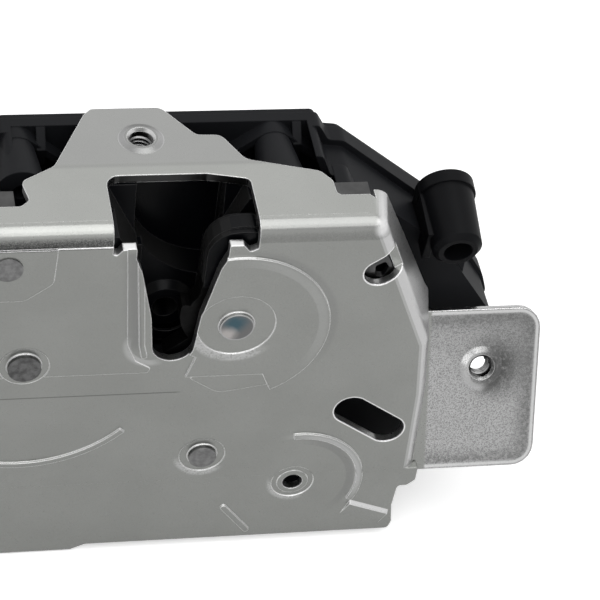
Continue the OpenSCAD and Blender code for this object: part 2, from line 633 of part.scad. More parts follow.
// Gable with a round ridge over a post, seen from the front; t is how far inside its skin
module hood(x, t) {
    r = hood_r - t;
    reach = r / sin(hood_slope) + (hood_z - trough_z) / tan(hood_slope);
    top = (r - join) * [sin(hood_slope), cos(hood_slope)];
    translate([x, hood_z]) circle(r);
    polygon([[x - top[0], hood_z + top[1]], [x + top[0], hood_z + top[1]], [x + reach, trough_z - 0.1],
        [x - reach, trough_z - 0.1]]);
}
module housing_shell() {
    difference() {
        union() {
            upright(house_y0, wing_y + wall) polygon(rounded(half_both(front_part_right)));
            upright(rim_y, house_back) polygon(rounded(sides(house_right, house_left)));
            upright(wing_y, rim_y + 0.1) polygon(rounded(sides(ledge_right, ledge_left)));
            // pad that carries the guide boss on the shoulder
            upright(wing_y + 0.6, boss_y + 3) polygon([[boss_x - 6, 60], [boss_x + 5.4, 60],
                [boss_x + 5.4, boss_z - 2],
                [boss_x - 6, boss_z - 2]]);
        }
        // motor and gear room
        upright(house_y0 + wall, wing_y + wall + 0.1) polygon(rounded(half_both(front_room)));
        upright(wing_y + wall, house_back + 1) polygon(rounded(sides(room_right, room_left)));
        // open trough behind the flange
        upright(house_y0 - 1, wing_y + wall) polygon([[-41.4, trough_z], [41.4, trough_z], [36, 92],
            [30, 110], [-30, 110], [-36, 92]]);
        upright(wing_y - 1, trough_back) polygon(rounded(half_both(trough_half)));
    }
}
module housing() placed() {
    color("#1b1c1f") difference() {
        union() {
            housing_shell();
            for (p = screw_places) if (p != screw_places[4]) rod(p, 3.8, wing_y + wall - 0.1, house_back);
            for (x = post_x) {
                difference() {
                    upright(hood_y, trough_back + 0.1) intersection() {
                        hood(x, 0);
                        polygon(rounded(sides(ledge_right, ledge_left)));
                    }
                    upright(hood_y - 1, trough_back - 0.6) hood(x, 1.6);
                }
                translate([x, trough_back + 0.1, hood_z]) rotate([90, 0, 0])
                    cylinder(r1 = post_r, r2 = post_r + 2, h = trough_back + 0.1 - post_y);
                translate([x + 4.4, 0, 0]) rotate([90, 0, 90]) linear_extrude(2)
                    polygon([[trough_back + 0.1, house_h - 0.2], [trough_back + 0.1, hood_z - 4],
                        [hood_y + 0.4, hood_z - 4],
                        [hood_y - 0.4, hood_z + 0.6], [trough_back - 0.5, house_h - 0.2]]);
            }
        }
        // seats of the liner, the lug, the pins and the connector
        block([-mouth_left - 1.6 - seat, house_y0 - 1, 52 - seat],
            [mouth_right + 1.6 + seat, liner_back + seat, 120]);
        rod([gear_x, gear_z], gear_pitch_r + 1.3, wing_y - 1, wing_y + wall + 1);
        rod([gear_x, gear_z], cam_r + 0.8, house_y0 + wall, wing_y + 1);
        for (p = screw_places) rod(p, 1.62, house_back - 6.5, house_back + 1);
        for (x = post_x) rod([x, hood_z], 1.8, post_y - 1, hood_y);
        at_boss() cylinder(r = boss_r + 0.75, h = 40, center = true);
        at_boss() translate([-boss_r - 0.55, -boss_r - 0.65, -3.05]) cube([1.9, boss_r + 2.7, boss_len]);
        rod([lug_x, lug_z - 0.5], lug_r + 2.4, house_y0 - 1, house_y0 + wall + 1);
        for (p = [[catch_x, catch_z], [pawl_x, pawl_z], rivet_a, rivet_b]) rod(p, 5.4, house_y0 - 1,
            house_y0 + 1.2);
        rod([gear_x, gear_z], gear_pin_r, house_y0 - 1, house_y0 + wall + 2);
        block([-100, 25 - seat, 20 - seat], [-66 + seat, 38 + seat, 38 + seat]);
    }
}

// Axis of the guide boss: Z of the children runs to its mouth
module at_boss() { translate([boss_x, boss_y, boss_z]) rotate([boss_tilt + 90, 0, 0]) children(); }
module guide_boss() placed() {
    color("#1b1c1f") at_boss() difference() {
        union() {
            cylinder(r1 = boss_r + 0.2, r2 = boss_r - 0.4, h = boss_len - 1.2);
            translate([0, 0, boss_len - 1.2]) cylinder(r1 = boss_r - 0.4, r2 = boss_r - 1.6, h = 1.2);
            translate([0, 0, -3]) cylinder(r = boss_r + 0.7, h = 3.1);
            translate([-boss_r - 0.5, -boss_r - 0.6, -3]) cube([1.8, boss_r + 2.6, boss_len - 0.4]);
        }
        translate([0, 0, -4]) cylinder(r = boss_bore_r, h = boss_len + 6);
    }
}

module rear_cover() placed() {
    color("#1b1c1f") difference() {
        union() {
            upright(house_back, cover_back) polygon(rounded(sides(cover_right, cover_left)));
            translate([motor_x0 - 2, cover_back - 0.1, worm_z - 10]) cube([motor_len + 4, 1, 20]);
        }
        rod([gear_x, gear_z], gear_pin_r, house_back - 1, cover_back + 2);
        for (p = screw_places) rod(p, 1.7, house_back - 1, cover_back + 3);
    }
}
screw_places = [[-72, 8], [60, 8], [-60, 62], [60, 62], [0, 84], [12, 6]];
module cover_screws() placed() {
    color("gray") for (p = screw_places) difference() {
        union() {
            rod(p, 1.6, house_back - 6, cover_back + 0.1);
            translate([p[0], cover_back + 0.9, p[1]]) rotate([90, 0, 0]) cylinder(r1 = 2.6, r2 = 3,
                h = 0.9);
        }
        upright(cover_back + 0.4, cover_back + 2) translate(p) circle(1.3, $fn = 6);
    }
}

module motor_can() placed() {
    color("lightsteelblue") intersection() {
        translate([motor_x0, drive_y, worm_z]) rotate([0, 90, 0]) union() {
            cylinder(r = motor_r, h = motor_len);
            translate([0, 0, -1.6]) cylinder(r = 3, h = 1.7);
        }
        block([motor_x0 - 3, drive_y - motor_r + 2, worm_z - motor_r],
            [motor_x0 + motor_len, drive_y + motor_r - 2, worm_z + motor_r]);
    }
}
module motor_end_cap() placed() {
    color("#303236") intersection() {
        translate([motor_x0 + motor_len, drive_y, worm_z]) rotate([0, 90, 0]) union() {
            cylinder(r = motor_r - 0.6, h = 2.6);
            cylinder(r = 3, h = 4);
        }
        block([motor_x0, drive_y - motor_r + 2.6, worm_z - 20],
            [motor_x0 + 60, drive_y + motor_r - 2.6, worm_z + 20]);
    }
}
module motor_terminals() placed() {
    color("goldenrod") for (s = [-1, 1])
        block([motor_x0 + motor_len + 2.6, drive_y - 2.5, worm_z + s * 7 - 0.4],
            [motor_x0 + motor_len + 7, drive_y + 2.5, worm_z + s * 7 + 0.4]);
}
module motor_shaft() placed() {
    color("gainsboro") translate([worm_x0 - 5, drive_y, worm_z]) rotate([0, 90, 0])
        cylinder(r = shaft_r, h = worm_len + 5 + 5.2);
}
function worm_edge(a) = max(worm_r - 1, min(worm_r + 0.72,
    worm_r + (pitch_len / 4 - 0.16 - abs(a) / 360 * pitch_len) / tan(20)));
module worm() placed() {
    color("darkgoldenrod") translate([worm_x0, drive_y, worm_z]) rotate([0, 90, 0]) difference() {
        linear_extrude(worm_len, twist = -360 * worm_pitches, slices = worm_pitches * 10, $fn = 0, $fa = 30)
            polygon([for (a = [-180 : 15 : 165]) polar([0, 0], worm_edge(a), a)]);
        translate([0, 0, -1]) cylinder(r = shaft_r, h = worm_len + 2);
    }
}
function inv_deg(r, rb) = let (a = acos(min(1, rb / r))) tan(a) * 180 / PI - a;
function tooth_half(r) = let (rb = gear_pitch_r * cos(20))
    (90 / gear_teeth) - 0.65 + inv_deg(gear_pitch_r, rb) - inv_deg(max(r, rb), rb);
function gear_points() = let (ra = gear_pitch_r + 0.7, rf = gear_pitch_r - 0.95)
    [for (i = [0 : gear_teeth - 1]) let (c = -90 + i * 360 / gear_teeth)
        each concat([polar([0, 0], rf, c - tooth_half(rf) - 0.3)],
            [for (k = [0 : 3]) let (r = gear_pitch_r - 0.5 + (ra - gear_pitch_r + 0.5) * k / 3) polar(
                [0, 0], r, c - tooth_half(r))],
            [for (k = [3 : -1 : 0]) let (r = gear_pitch_r - 0.5 + (ra - gear_pitch_r + 0.5) * k / 3) polar([0, 0], r, c + tooth_half(r))],
            [polar([0, 0], rf, c + tooth_half(rf) + 0.3)])];
// Spiral that lets the lug sink evenly while the gear turns
function cam_edge(a) = a > 90 ? cam_r : max(cam_r - cam_drop * 1.3,
    cam_r - cam_drop * (90 - a) / gear_turn);
module drive_gear() placed() {
    color("ivory") difference() {
        union() {
            upright(drive_y - gear_w / 2, drive_y + gear_w / 2) translate(
                [gear_x, gear_z]) polygon(gear_points());
            upright(cam_y0, cam_y1 + 0.1) translate([gear_x, gear_z])
                polygon(concat([[0, 0]], [for (a = [-62 : 4 : 122]) polar([0, 0], cam_edge(a), a)]));
            rod([gear_x, gear_z], 5, house_y0 + wall + 0.3, house_back - 0.3);
        }
        rod([gear_x, gear_z], gear_pin_r + run_play, 0, 60);
    }
}
module gear_pin() placed() {
    color("gainsboro") rod([gear_x, gear_z], gear_pin_r, house_y0 + 0.2, cover_back);
}
module motor_cradle() placed() {
    color("#1b1c1f") difference() {
        union() {
            block([motor_x0 + 3, drive_y - motor_r + 2 - 2, wall], [motor_x0 + 7, house_back, worm_z]);
            block([motor_x0 + motor_len - 7, drive_y - motor_r + 2 - 2, wall],
                [motor_x0 + motor_len - 3, house_back, worm_z]);
            block([worm_x0 - 6.5, wing_y + wall, wall], [worm_x0 - 2.6, house_back, worm_z + 2.4]);
        }
        translate([motor_x0 - 1, drive_y, worm_z]) rotate([0, 90, 0]) cylinder(r = motor_r + 0.02,
            h = motor_len + 2);
        translate([worm_x0 - 10, drive_y, worm_z]) rotate([0, 90, 0]) cylinder(r = shaft_r + run_play,
            h = 12);
    }
}

module switch_body() placed() {
    color("#242628") difference() {
        block([switch_x + 3, catch_y0 - 0.4, catch_z - 6], [switch_x + 9.5, inner_y0, catch_z + 10]);
        translate([switch_x, catch_y0 + 2, catch_z]) rotate([0, 90, 0]) cylinder(r = 1.3 + run_play, h = 7);
    }
}
module switch_plunger() placed() {
    color("firebrick") union() {
        translate([switch_x + 1.2, catch_y0 + 2, catch_z]) rotate([0, 90, 0]) cylinder(r = 1.3, h = 4);
        translate([switch_x + 1.2, catch_y0 + 2, catch_z]) sphere(1.3);
    }
}
module switch_terminals() placed() {
    color("goldenrod") for (z = [-3, 2, 7])
        block([switch_x + 9.5, catch_y0 + 1.6, catch_z + z - 0.8],
            [switch_x + 13, catch_y0 + 2.2, catch_z + z + 0.8]);
}

module connector_socket() placed() {
    color("#101113") difference() {
        block([-86.5, 25, 20], [-66, 38, 38]);
        block([-88, 26.6, 21.6], [-72, 36.4, 36.4]);
    }
}
module connector_pins() placed() {
    color("goldenrod") for (z = [24.5, 29, 33.5], y = [29, 34])
        block([-80, y - 0.4, z - 0.4], [-72, y + 0.4, z + 0.4]);
}

striker_plate();
inner_plate();
catch_pin();
pawl_pin();
spacer_rivets();
catch();
catch_cover();
catch_spring();
pawl();
pawl_spring();
stop_buffer();
mouth_liner();
housing();
guide_boss();
rear_cover();
cover_screws();
motor_can();
motor_end_cap();
motor_terminals();
motor_shaft();
worm();
drive_gear();
gear_pin();
switch_body();
switch_plunger();
switch_terminals();
connector_socket();
connector_pins();
motor_cradle();
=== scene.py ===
"""Tailgate lock actuator: finishes, thread ridges, camera and studio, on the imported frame."""

import logging
import math
from dataclasses import dataclass, field
from enum import Enum

import bpy
from mathutils import Matrix, Vector


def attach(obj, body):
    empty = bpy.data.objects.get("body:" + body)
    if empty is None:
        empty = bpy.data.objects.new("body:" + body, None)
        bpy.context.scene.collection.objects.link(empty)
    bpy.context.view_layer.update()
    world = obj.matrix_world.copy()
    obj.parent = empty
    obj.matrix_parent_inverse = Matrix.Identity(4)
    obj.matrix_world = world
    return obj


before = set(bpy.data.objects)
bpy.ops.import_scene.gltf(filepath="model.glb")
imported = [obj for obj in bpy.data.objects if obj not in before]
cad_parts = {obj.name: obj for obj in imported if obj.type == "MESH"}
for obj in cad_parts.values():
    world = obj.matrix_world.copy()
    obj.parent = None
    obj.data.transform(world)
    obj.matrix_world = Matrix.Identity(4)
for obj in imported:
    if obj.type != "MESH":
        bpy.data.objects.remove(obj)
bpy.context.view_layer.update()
LOG = logging.getLogger("tailgate_lock")

# Y of the striker plate's front face, in metres.
FRONT_Y = -0.0217
# Millimetres in a metre.
PER_METRE = 1000
BEVEL_SAMPLES = 4
EDGE_SAMPLES = 6
# Middle of every noise.
NEUTRAL = 0.5

Socket = bpy.types.NodeSocket
Value = Socket | float
Colour = tuple[float, float, float, float]
# A point is in millimetres of the front view, or in metres where its docstring says so.
Point = tuple[float, float]
# A span holds the value where a mask is 0, then the value where it is 1; it may fall.
Span = tuple[float, float]
# A grain holds the size of a noise's patches in metres, its layers and their weight.
Grain = tuple[float, ...]
# Where the clouds between a finish's dark and light colour set in.
CLOUDS: Span = (0.3, 0.7)


class Side(Enum):
    """Side of the lock, as its sign along X."""

    LEFT = -1
    RIGHT = 1


@dataclass(frozen=True)
class Coat:
    """How much of a mask is painted, and in which grey."""

    amount: float
    tone: float


@dataclass(frozen=True)
class Crescent:
    """Soft crescent round a point of the front view.

    The middle, the radii and the soft borders are in millimetres. Lean is the direction, in X
    and Z, where it is thickest; lit says where along it the light sets in, in shares of inner.
    """

    middle: Point
    inner: float
    outer: float
    lean: Point
    coat: Coat
    inner_soft: float = 0.2
    outer_soft: float = 0.6
    lit: Span = (0.3, 0.9)


def grey(level: float) -> Colour:
    """A grey as a colour.

    Args:
        level: Brightness, linear.

    Returns:
        The colour with alpha 1.
    """
    return (level, level, level, 1.0)


class Recipe:
    """Node tree of one material, with a Principled shader at its end."""

    def __init__(self, name: str) -> None:
        """Starts a new material.

        Args:
            name: Name of the material.
        """
        self.material = bpy.data.materials.new(name)
        self.material.use_nodes = True
        self.tree = self.material.node_tree
        self.shader = self.tree.nodes["Principled BSDF"]
        self.place = self.node("ShaderNodeTexCoord").outputs["Object"]
        parts = self.node("ShaderNodeSeparateXYZ", Vector=self.place)
        self.x, self.y, self.z = parts.outputs

    def node(self, kind: str, **inputs: object) -> bpy.types.Node:
        """Adds a node and feeds its inputs.

        Args:
            kind: Blender's name of the node type.
            inputs: Values or sockets for the inputs, by name.

        Returns:
            The new node.
        """
        new = self.tree.nodes.new(kind)
        for name, value in inputs.items():
            self.feed(new.inputs[name], value)
        return new

    def feed(self, target: Socket, value: object) -> None:
        """Links a socket to an input, or sets its value.

        Args:
            target: Input socket.
            value: Socket, number, colour or vector.
        """
        if isinstance(value, bpy.types.NodeSocket):
            self.tree.links.new(value, target)
        else:
            target.default_value = value

    def finish(self, **inputs: object) -> None:
        """Feeds the Principled shader.

        Args:
            inputs: Values by the inputs' names, with _ for a space.
        """
        for name, value in inputs.items():
            self.feed(self.shader.inputs[name.replace("_", " ")], value)

    def math(self, operation: str, a: Value, b: Value = 0.0, clamp: bool = False) -> Socket:
        """Adds one step of arithmetic.

        Args:
            operation: Name of the operation.
            a: First value.
            b: Second value.
            clamp: Whether the result stays within 0 and 1.

        Returns:
            The result's socket.
        """
        new = self.tree.nodes.new("ShaderNodeMath")
        new.operation = operation
        new.use_clamp = clamp
        self.feed(new.inputs[0], a)
        self.feed(new.inputs[1], b)
        return new.outputs[0]

    def times(self, *factors: Value, clamp: bool = False) -> Socket:
        """Multiplies two or more values.

        Args:
            factors: The values.
            clamp: Whether each product stays within 0 and 1.

        Returns:
            The product's socket.
        """
        product = factors[0]
        for factor in factors[1:]:
            product = self.math("MULTIPLY", product, factor, clamp)
        return product

    def plus(self, a: Value, b: Value, clamp: bool = False) -> Socket:
        """Adds two values.

        Args:
            a: First value.
            b: Second value.
            clamp: Whether the sum stays within 0 and 1.

        Returns:
            The sum's socket.
        """
        return self.math("ADD", a, b, clamp)

    def minus(self, a: Value, b: Value, clamp: bool = False) -> Socket:
        """Subtracts the second value from the first.

        Args:
            a: First value.
            b: Second value.
            clamp: Whether the difference stays within 0 and 1.

        Returns:
            The difference's socket.
        """
        return self.math("SUBTRACT", a, b, clamp)

    def apart(self, a: Value, b: Value) -> Socket:
        """How far two values lie apart, without sign.

        Args:
            a: First value.
            b: Second value.

        Returns:
            The distance's socket.
        """
        return self.math("ABSOLUTE", self.minus(a, b))

    def length(self, a: Value, b: Value) -> Socket:
        """Length of the slope over two sides.

        Args:
            a: First side.
            b: Second side.

        Returns:
            The length's socket.
        """
        return self.math("SQRT", self.plus(self.times(a, a), self.times(b, b)))

    def rise(self, value: Value, span: Span) -> Socket:
        """Goes smoothly from 0 to 1 over a span.

        Args:
            value: What is followed.
            span: Where it is 0, and where it is 1.

        Returns:
            The result's socket.
        """
        low, high = span
        new = self.tree.nodes.new("ShaderNodeMapRange")
        new.interpolation_type = "SMOOTHSTEP"
        flip = high < low
        ends = {
            "From Min": min(low, high), "From Max": max(low, high),
            "To Min": float(flip), "To Max": float(not flip),
        }
        for name, number in ends.items():
            new.inputs[name].default_value = number
        self.feed(new.inputs["Value"], value)
        return new.outputs["Result"]

    def band(self, value: Value, start: Span, end: Span) -> Socket:
        """Mask that rises over one span and falls over another.

        Args:
            value: What is followed.
            start: Span of the rise.
            end: Span of the fall.

        Returns:
            The mask's socket.
        """
        return self.times(self.rise(value, start), self.rise(value, end))

    def noise(
        self, size: float, detail: float = 3.0, rough: float = 0.5,
        stretch: tuple[float, float, float] = (1, 1, 1),
    ) -> Socket:
        """Adds cloudy noise of a given patch size.

        Args:
            size: Size of the patches in metres.
            detail: Number of finer layers.
            rough: Weight of the finer layers.
            stretch: Scale of the pattern along each axis.

        Returns:
            The noise's socket, around 0.5.
        """
        where = self.node("ShaderNodeMapping", Vector=self.place, Scale=stretch).outputs[0]
        cloud = self.node(
            "ShaderNodeTexNoise", Vector=where, Scale=1 / size, Detail=detail, Roughness=rough
        )
        return cloud.outputs["Fac"]

    def mottle(self, grain: Grain, span: Span) -> Socket:
        """Mask of a noise's peaks.

        Args:
            grain: The noise.
            span: Where the mask is 0, and where it is 1.

        Returns:
            The mask's socket.
        """
        return self.rise(self.noise(*grain), span)

    def blend(self, amount: Value, a: object, b: object) -> Socket:
        """Mixes two colours.

        Args:
            amount: 0 for the first, 1 for the second.
            a: First colour or socket.
            b: Second colour or socket.

        Returns:
            The mixed colour's socket.
        """
        new = self.tree.nodes.new("ShaderNodeMix")
        new.data_type = "RGBA"
        self.feed(new.inputs[0], amount)
        self.feed(new.inputs[6], a)
        self.feed(new.inputs[7], b)
        return new.outputs[2]

    def paint(self, colour: object, mask: Value, coat: Coat) -> Socket:
        """Paints a grey over a colour.

        Args:
            colour: Colour or socket below.
            mask: Where the paint lies.
            coat: The paint.

        Returns:
            The new colour's socket.
        """
        return self.blend(self.times(mask, coat.amount), colour, grey(coat.tone))

    def uneven(self, level: Value, fine: Value, spread: float) -> Socket:
        """Varies a roughness with a noise.

        Args:
            level: Roughness in the middle.
            fine: The noise, around 0.5.
            spread: How much of the noise counts.

        Returns:
            The roughness's socket.
        """
        return self.plus(self.times(self.minus(fine, NEUTRAL), spread), level, True)

    def facing(self) -> bpy.types.NodeOutputs:
        """The surface's direction.

        Returns:
            Sockets for its parts along X, Y and Z.
        """
        normal = self.node("ShaderNodeNewGeometry").outputs["Normal"]
        return self.node("ShaderNodeSeparateXYZ", Vector=normal).outputs

    def distance(self, x: float, z: float, across: Socket | None = None) -> Socket:
        """Distance from a point of the front view, in metres.

        Args:
            x: Millimetres to the right.
            z: Millimetres up.
            across: Socket used for X, such as its absolute value.

        Returns:
            The distance's socket.
        """
        run = self.minus(across or self.x, x / PER_METRE)
        return self.length(run, self.minus(self.z, z / PER_METRE))

    def crescent(self, shape: Crescent) -> Socket:
        """Mask of a soft crescent.

        Args:
            shape: The crescent.

        Returns:
            The mask's socket.
        """
        (x, z), inner, outer = shape.middle, shape.inner, shape.outer
        start = (inner - shape.inner_soft) / PER_METRE, (inner + shape.inner_soft) / PER_METRE
        end = (outer + shape.outer_soft) / PER_METRE, (outer - shape.outer_soft) / PER_METRE
        along_x = self.times(self.minus(self.x, x / PER_METRE), shape.lean[0])
        along_z = self.times(self.minus(self.z, z / PER_METRE), shape.lean[1])
        lit = tuple(inner * share / PER_METRE for share in shape.lit)
        return self.times(
            self.band(self.distance(x, z), start, end),
            self.rise(self.plus(along_x, along_z), lit),
        )

    def inset(self, u: Socket, v: Socket, corner: Point, middle: float, round_r: float) -> Socket:
        """Distance inward from the outline of a tab with two rounded corners.

        Args:
            u: Socket along the tab's length, in metres.
            v: Socket across it.
            corner: Length, and half the width, in metres.
            middle: Where its middle lies along v.
            round_r: Radius of its corners.

        Returns:
            The distance's socket, above 0 inside.
        """
        along = self.minus(u, corner[0] - round_r)
        aside = self.minus(self.apart(v, middle), corner[1] - round_r)
        beyond = self.length(self.math("MAXIMUM", along, 0.0), self.math("MAXIMUM", aside, 0.0))
        within = self.math("MINIMUM", self.math("MAXIMUM", along, aside), 0.0)
        return self.minus(round_r, self.plus(beyond, within))

    def outside(self, u: Socket, v: Socket, start: Point, end: Point, radius: float) -> Socket:
        """Distance outward from the outline of an oblong hole.

        Args:
            u: Socket along X, in metres.
            v: Socket along Z.
            start: Middle of the hole's one end, in millimetres.
            end: Middle of its other end.
            radius: Radius of its ends in millimetres.

        Returns:
            The distance's socket, below 0 within the hole.
        """
        run = ((end[0] - start[0]) / PER_METRE, (end[1] - start[1]) / PER_METRE)
        square = run[0] ** 2 + run[1] ** 2
        du = self.minus(u, start[0] / PER_METRE)
        dv = self.minus(v, start[1] / PER_METRE)
        share = self.plus(self.times(du, run[0] / square), self.times(dv, run[1] / square), True)
        du = self.minus(du, self.times(share, run[0]))
        dv = self.minus(dv, self.times(share, run[1]))
        return self.minus(self.length(du, dv), radius / PER_METRE)

    def edges(self, radius: float, cosines: Span) -> Socket:
        """Mask of the edges, from the angle between the rounded and the real normal.

        Args:
            radius: Width of the edges in metres.
            cosines: Cosine of the turn where the mask is 0, and where it is 1.

        Returns:
            The mask's socket.
        """
        bevel = self.node("ShaderNodeBevel", Radius=radius)
        bevel.samples = EDGE_SAMPLES
        turn = self.tree.nodes.new("ShaderNodeVectorMath")
        turn.operation = "DOT_PRODUCT"
        self.feed(turn.inputs[0], bevel.outputs[0])
        self.feed(turn.inputs[1], self.node("ShaderNodeNewGeometry").outputs["Normal"])
        return self.rise(turn.outputs["Value"], cosines)

    def relief(self, height: Socket, depth: float, edge: float) -> None:
        """Bumps the surface and rounds its edges.

        Args:
            height: Height between 0 and 1.
            depth: Real height in metres.
            edge: Radius of the rounded edges in metres.
        """
        bevel = self.node("ShaderNodeBevel", Radius=edge)
        bevel.samples = BEVEL_SAMPLES
        bump = self.node(
            "ShaderNodeBump", Height=height, Distance=depth, Strength=1.0, Normal=bevel.outputs[0]
        )
        self.finish(Normal=bump.outputs[0])


@dataclass(frozen=True)
class Metal:
    """Bare or plated metal."""

    name: str
    light: Colour
    dark: Colour
    roughness: float = 0.4
    patch: float = 0.004
    grain: float = 0.0004
    depth: float = 0.000006
    edge: float = 0.0002
    stretch: tuple[float, float, float] = (1, 1, 1)
    spread: float = 0.25

    def material(self) -> bpy.types.Material:
        """Builds the finish.

        Returns:
            The material.
        """
        recipe = Recipe(self.name)
        patches = recipe.noise(self.patch, detail=4, rough=0.6, stretch=self.stretch)
        fine = recipe.noise(self.grain, detail=2, rough=0.6, stretch=self.stretch)
        recipe.finish(
            Base_Color=recipe.blend(recipe.rise(patches, CLOUDS), self.dark, self.light),
            Roughness=recipe.uneven(self.roughness, fine, self.spread),
            Metallic=1.0,
        )
        recipe.relief(fine, self.depth, self.edge)
        return recipe.material


@dataclass(frozen=True)
class EarFace:
    """Pitted face of the plate's ears, with a smudge beside the thread, painted highlights along
    their edge and round the thread, and a painted shadow beside it.

    Corner holds the ear's reach and half its height along the slope, in metres; foot_z is where
    the slope begins and slope its cosine.
    """

    near: float = 0.47
    far: float = 0.3
    far_from: Point = (62, 26)
    far_span: Span = (0.02, 0.042)
    drift: Grain = (0.006, 3)
    drift_depth: float = 0.012
    pits: Coat = Coat(0.65, 0.12)
    pit_grain: Grain = (0.00032, 4, 0.7)
    pit_span: Span = (0.46, 0.6)
    smudge: Coat = Coat(0.92, 0.045)
    smudge_at: Point = (78.0, 42.0)
    smudge_span: Span = (0.0095, 0.0015)
    smudge_grain: Grain = (0.0009, 4, 0.75)
    smudge_gaps: Span = (0.2, 0.55)
    foot_z: float = 0.021
    slope: float = 0.9063
    corner: Point = (0.0883, 0.0193)
    corner_r: float = 0.005
    middle: float = 0.018
    edge_wear_and_highlight: Coat = Coat(0.6, 0.09)
    worn_start: Span = (0.001, 0.0018)
    worn_end: Span = (0.006, 0.0016)
    worn_grain: Grain = (0.0008, 4, 0.7)
    worn_gaps: Span = (0.4, 0.65)
    worn_least: float = 0.35
    # Painted highlight along the ear's edge.
    border_highlight: Coat = Coat(0.75, 0.75)
    border_start: Span = (0.0002, 0.0005)
    border_end: Span = (0.0013, 0.0008)
    shadow: Crescent = Crescent((75.2, 40.9), 2.9, 4.6, (0.95, -0.3), Coat(0.6, 0.07))
    thread: Point = (74.7, 41.3)
    # Painted highlight round the thread, on its outer side.
    rim_highlight: Coat = Coat(0.5, 0.6)
    rim_start: Span = (0.0024, 0.003)
    rim_end: Span = (0.005, 0.0038)
    rim_side: Span = (0.0765, 0.074)

    def colour(self, recipe: Recipe, across: Socket) -> Socket:
        """Paints the face.

        Args:
            recipe: The plate's recipe.
            across: Distance from the middle of the lock, in metres.

        Returns:
            The colour's socket.
        """
        drift = recipe.times(recipe.noise(*self.drift), self.drift_depth)
        away = recipe.plus(recipe.distance(*self.far_from, across), drift)
        ear = recipe.blend(recipe.rise(away, self.far_span), grey(self.near), grey(self.far))
        ear = recipe.paint(ear, recipe.mottle(self.pit_grain, self.pit_span), self.pits)
        spot = recipe.rise(recipe.distance(*self.smudge_at, across), self.smudge_span)
        smudge_and_edge_highlight = recipe.mottle(self.smudge_grain, self.smudge_gaps)
        ear = recipe.paint(ear, recipe.times(spot, smudge_and_edge_highlight), self.smudge)
        up = recipe.math("DIVIDE", recipe.minus(recipe.z, self.foot_z), self.slope)
        inward = recipe.inset(across, up, self.corner, self.middle, self.corner_r)
        edge_wear_and_highlight = recipe.band(inward, self.worn_start, self.worn_end)
        patchy = recipe.plus(self.worn_least, recipe.mottle(self.worn_grain, self.worn_gaps))
        ear = recipe.paint(ear, recipe.times(edge_wear_and_highlight, patchy, clamp=True), self.edge_wear_and_highlight)
        # Painted highlight along the edge, painted shadow beside the thread.
        line = recipe.band(inward, self.border_start, self.border_end)
        ear = recipe.paint(ear, line, self.border_highlight)
        ear = recipe.paint(ear, recipe.crescent(self.shadow), self.shadow.coat)
        # Painted highlight round the thread's outer side.
        ring = recipe.band(recipe.distance(*self.thread, across), self.rim_start, self.rim_end)
        ring = recipe.times(ring, recipe.rise(across, self.rim_side))
        return recipe.paint(ear, ring, self.rim_highlight)


@dataclass(frozen=True)
class Flange:
    """Top of the plate: painted shade on the tongue, its fold line and the bend's right part, the
    drawn band below the bend with its painted dark reflection, and a painted highlight at the
    bend's corners.
    """

    # Painted shade on the tongue beyond the fold line, on the fold line and on the bend's right
    # part.
    tongue: Coat = Coat(0.5, 0.24)
    tongue_y: Span = (-0.0011, 0.0001)
    crease_shade: Coat = Coat(0.3, 0.16)
    crease_y: float = -0.0011
    crease_width: Span = (0.001, 0.0001)
    bend: Coat = Coat(0.4, 0.17)
    bend_x: Span = (-0.01, 0.02)
    bend_y: Span = (-0.0186, -0.0192)
    bend_z: Span = (0.0962, 0.0968)
    drawn_top: Span = (0.097, 0.095)
    drawn_foot: Span = (0.0935, 0.094)
    # Grey of the painted dark reflection in the drawn band.
    dark_reflection_tone: float = 0.06
    sand: Grain = (0.00026, 4, 0.75)
    sand_span: Span = (0.38, 0.62)
    sand_least: float = 0.4
    left_x: Span = (0.02, -0.012)
    left_share: float = 0.65
    right_share: float = 0.3
    # Painted highlight at the bend's corners.
    glint: Coat = Coat(0.8, 0.85)
    glint_at: Point = (42.2, 96.2)
    glint_span: Span = (0.0026, 0.0004)

    def colour(self, recipe: Recipe, base: Socket) -> Socket:
        """Paints shade on the tongue, on the fold line before it and on the bend, which shines
        less at the right.

        Args:
            recipe: The plate's recipe.
            base: Colour below.

        Returns:
            The new colour's socket.
        """
        # Painted shade on the tongue, its fold line and the bend's right part.
        base = recipe.paint(base, recipe.rise(recipe.y, self.tongue_y), self.tongue)
        line = recipe.rise(recipe.apart(recipe.y, self.crease_y), self.crease_width)
        base = recipe.paint(base, line, self.crease_shade)
        bend = recipe.times(
            recipe.rise(recipe.y, self.bend_y), recipe.rise(recipe.z, self.bend_z),
            recipe.rise(recipe.x, self.bend_x),
        )
        return recipe.paint(base, bend, self.bend)

    def drawn_grain_and_reflection(self, recipe: Recipe, base: Socket, drawn: Socket) -> Socket:
        """Paints a dark reflection into the drawn band, broken by sandy grain and stronger at the
        left.

        Args:
            recipe: The plate's recipe.
            base: Colour below.
            drawn: Mask of the band.

        Returns:
            The new colour's socket.
        """
        # Painted dark reflection, broken by sandy grain and stronger at the left.
        sand = recipe.plus(self.sand_least, recipe.mottle(self.sand, self.sand_span))
        grain = recipe.times(drawn, sand, clamp=True)
        leftward = recipe.times(recipe.rise(recipe.x, self.left_x), self.left_share)
        amount = recipe.times(grain, recipe.plus(self.right_share, leftward))
        return recipe.blend(amount, base, grey(self.dark_reflection_tone))

    def corners(self, recipe: Recipe, base: Socket, across: Socket) -> Socket:
        """Paints a highlight at the bend's corners.

        Args:
            recipe: The plate's recipe.
            base: Colour below.
            across: Distance from the middle of the lock, in metres.

        Returns:
            The new colour's socket.
        """
        # Painted highlight at the corners.
        spot = recipe.rise(recipe.distance(*self.glint_at, across), self.glint_span)
        return recipe.paint(base, spot, self.glint)


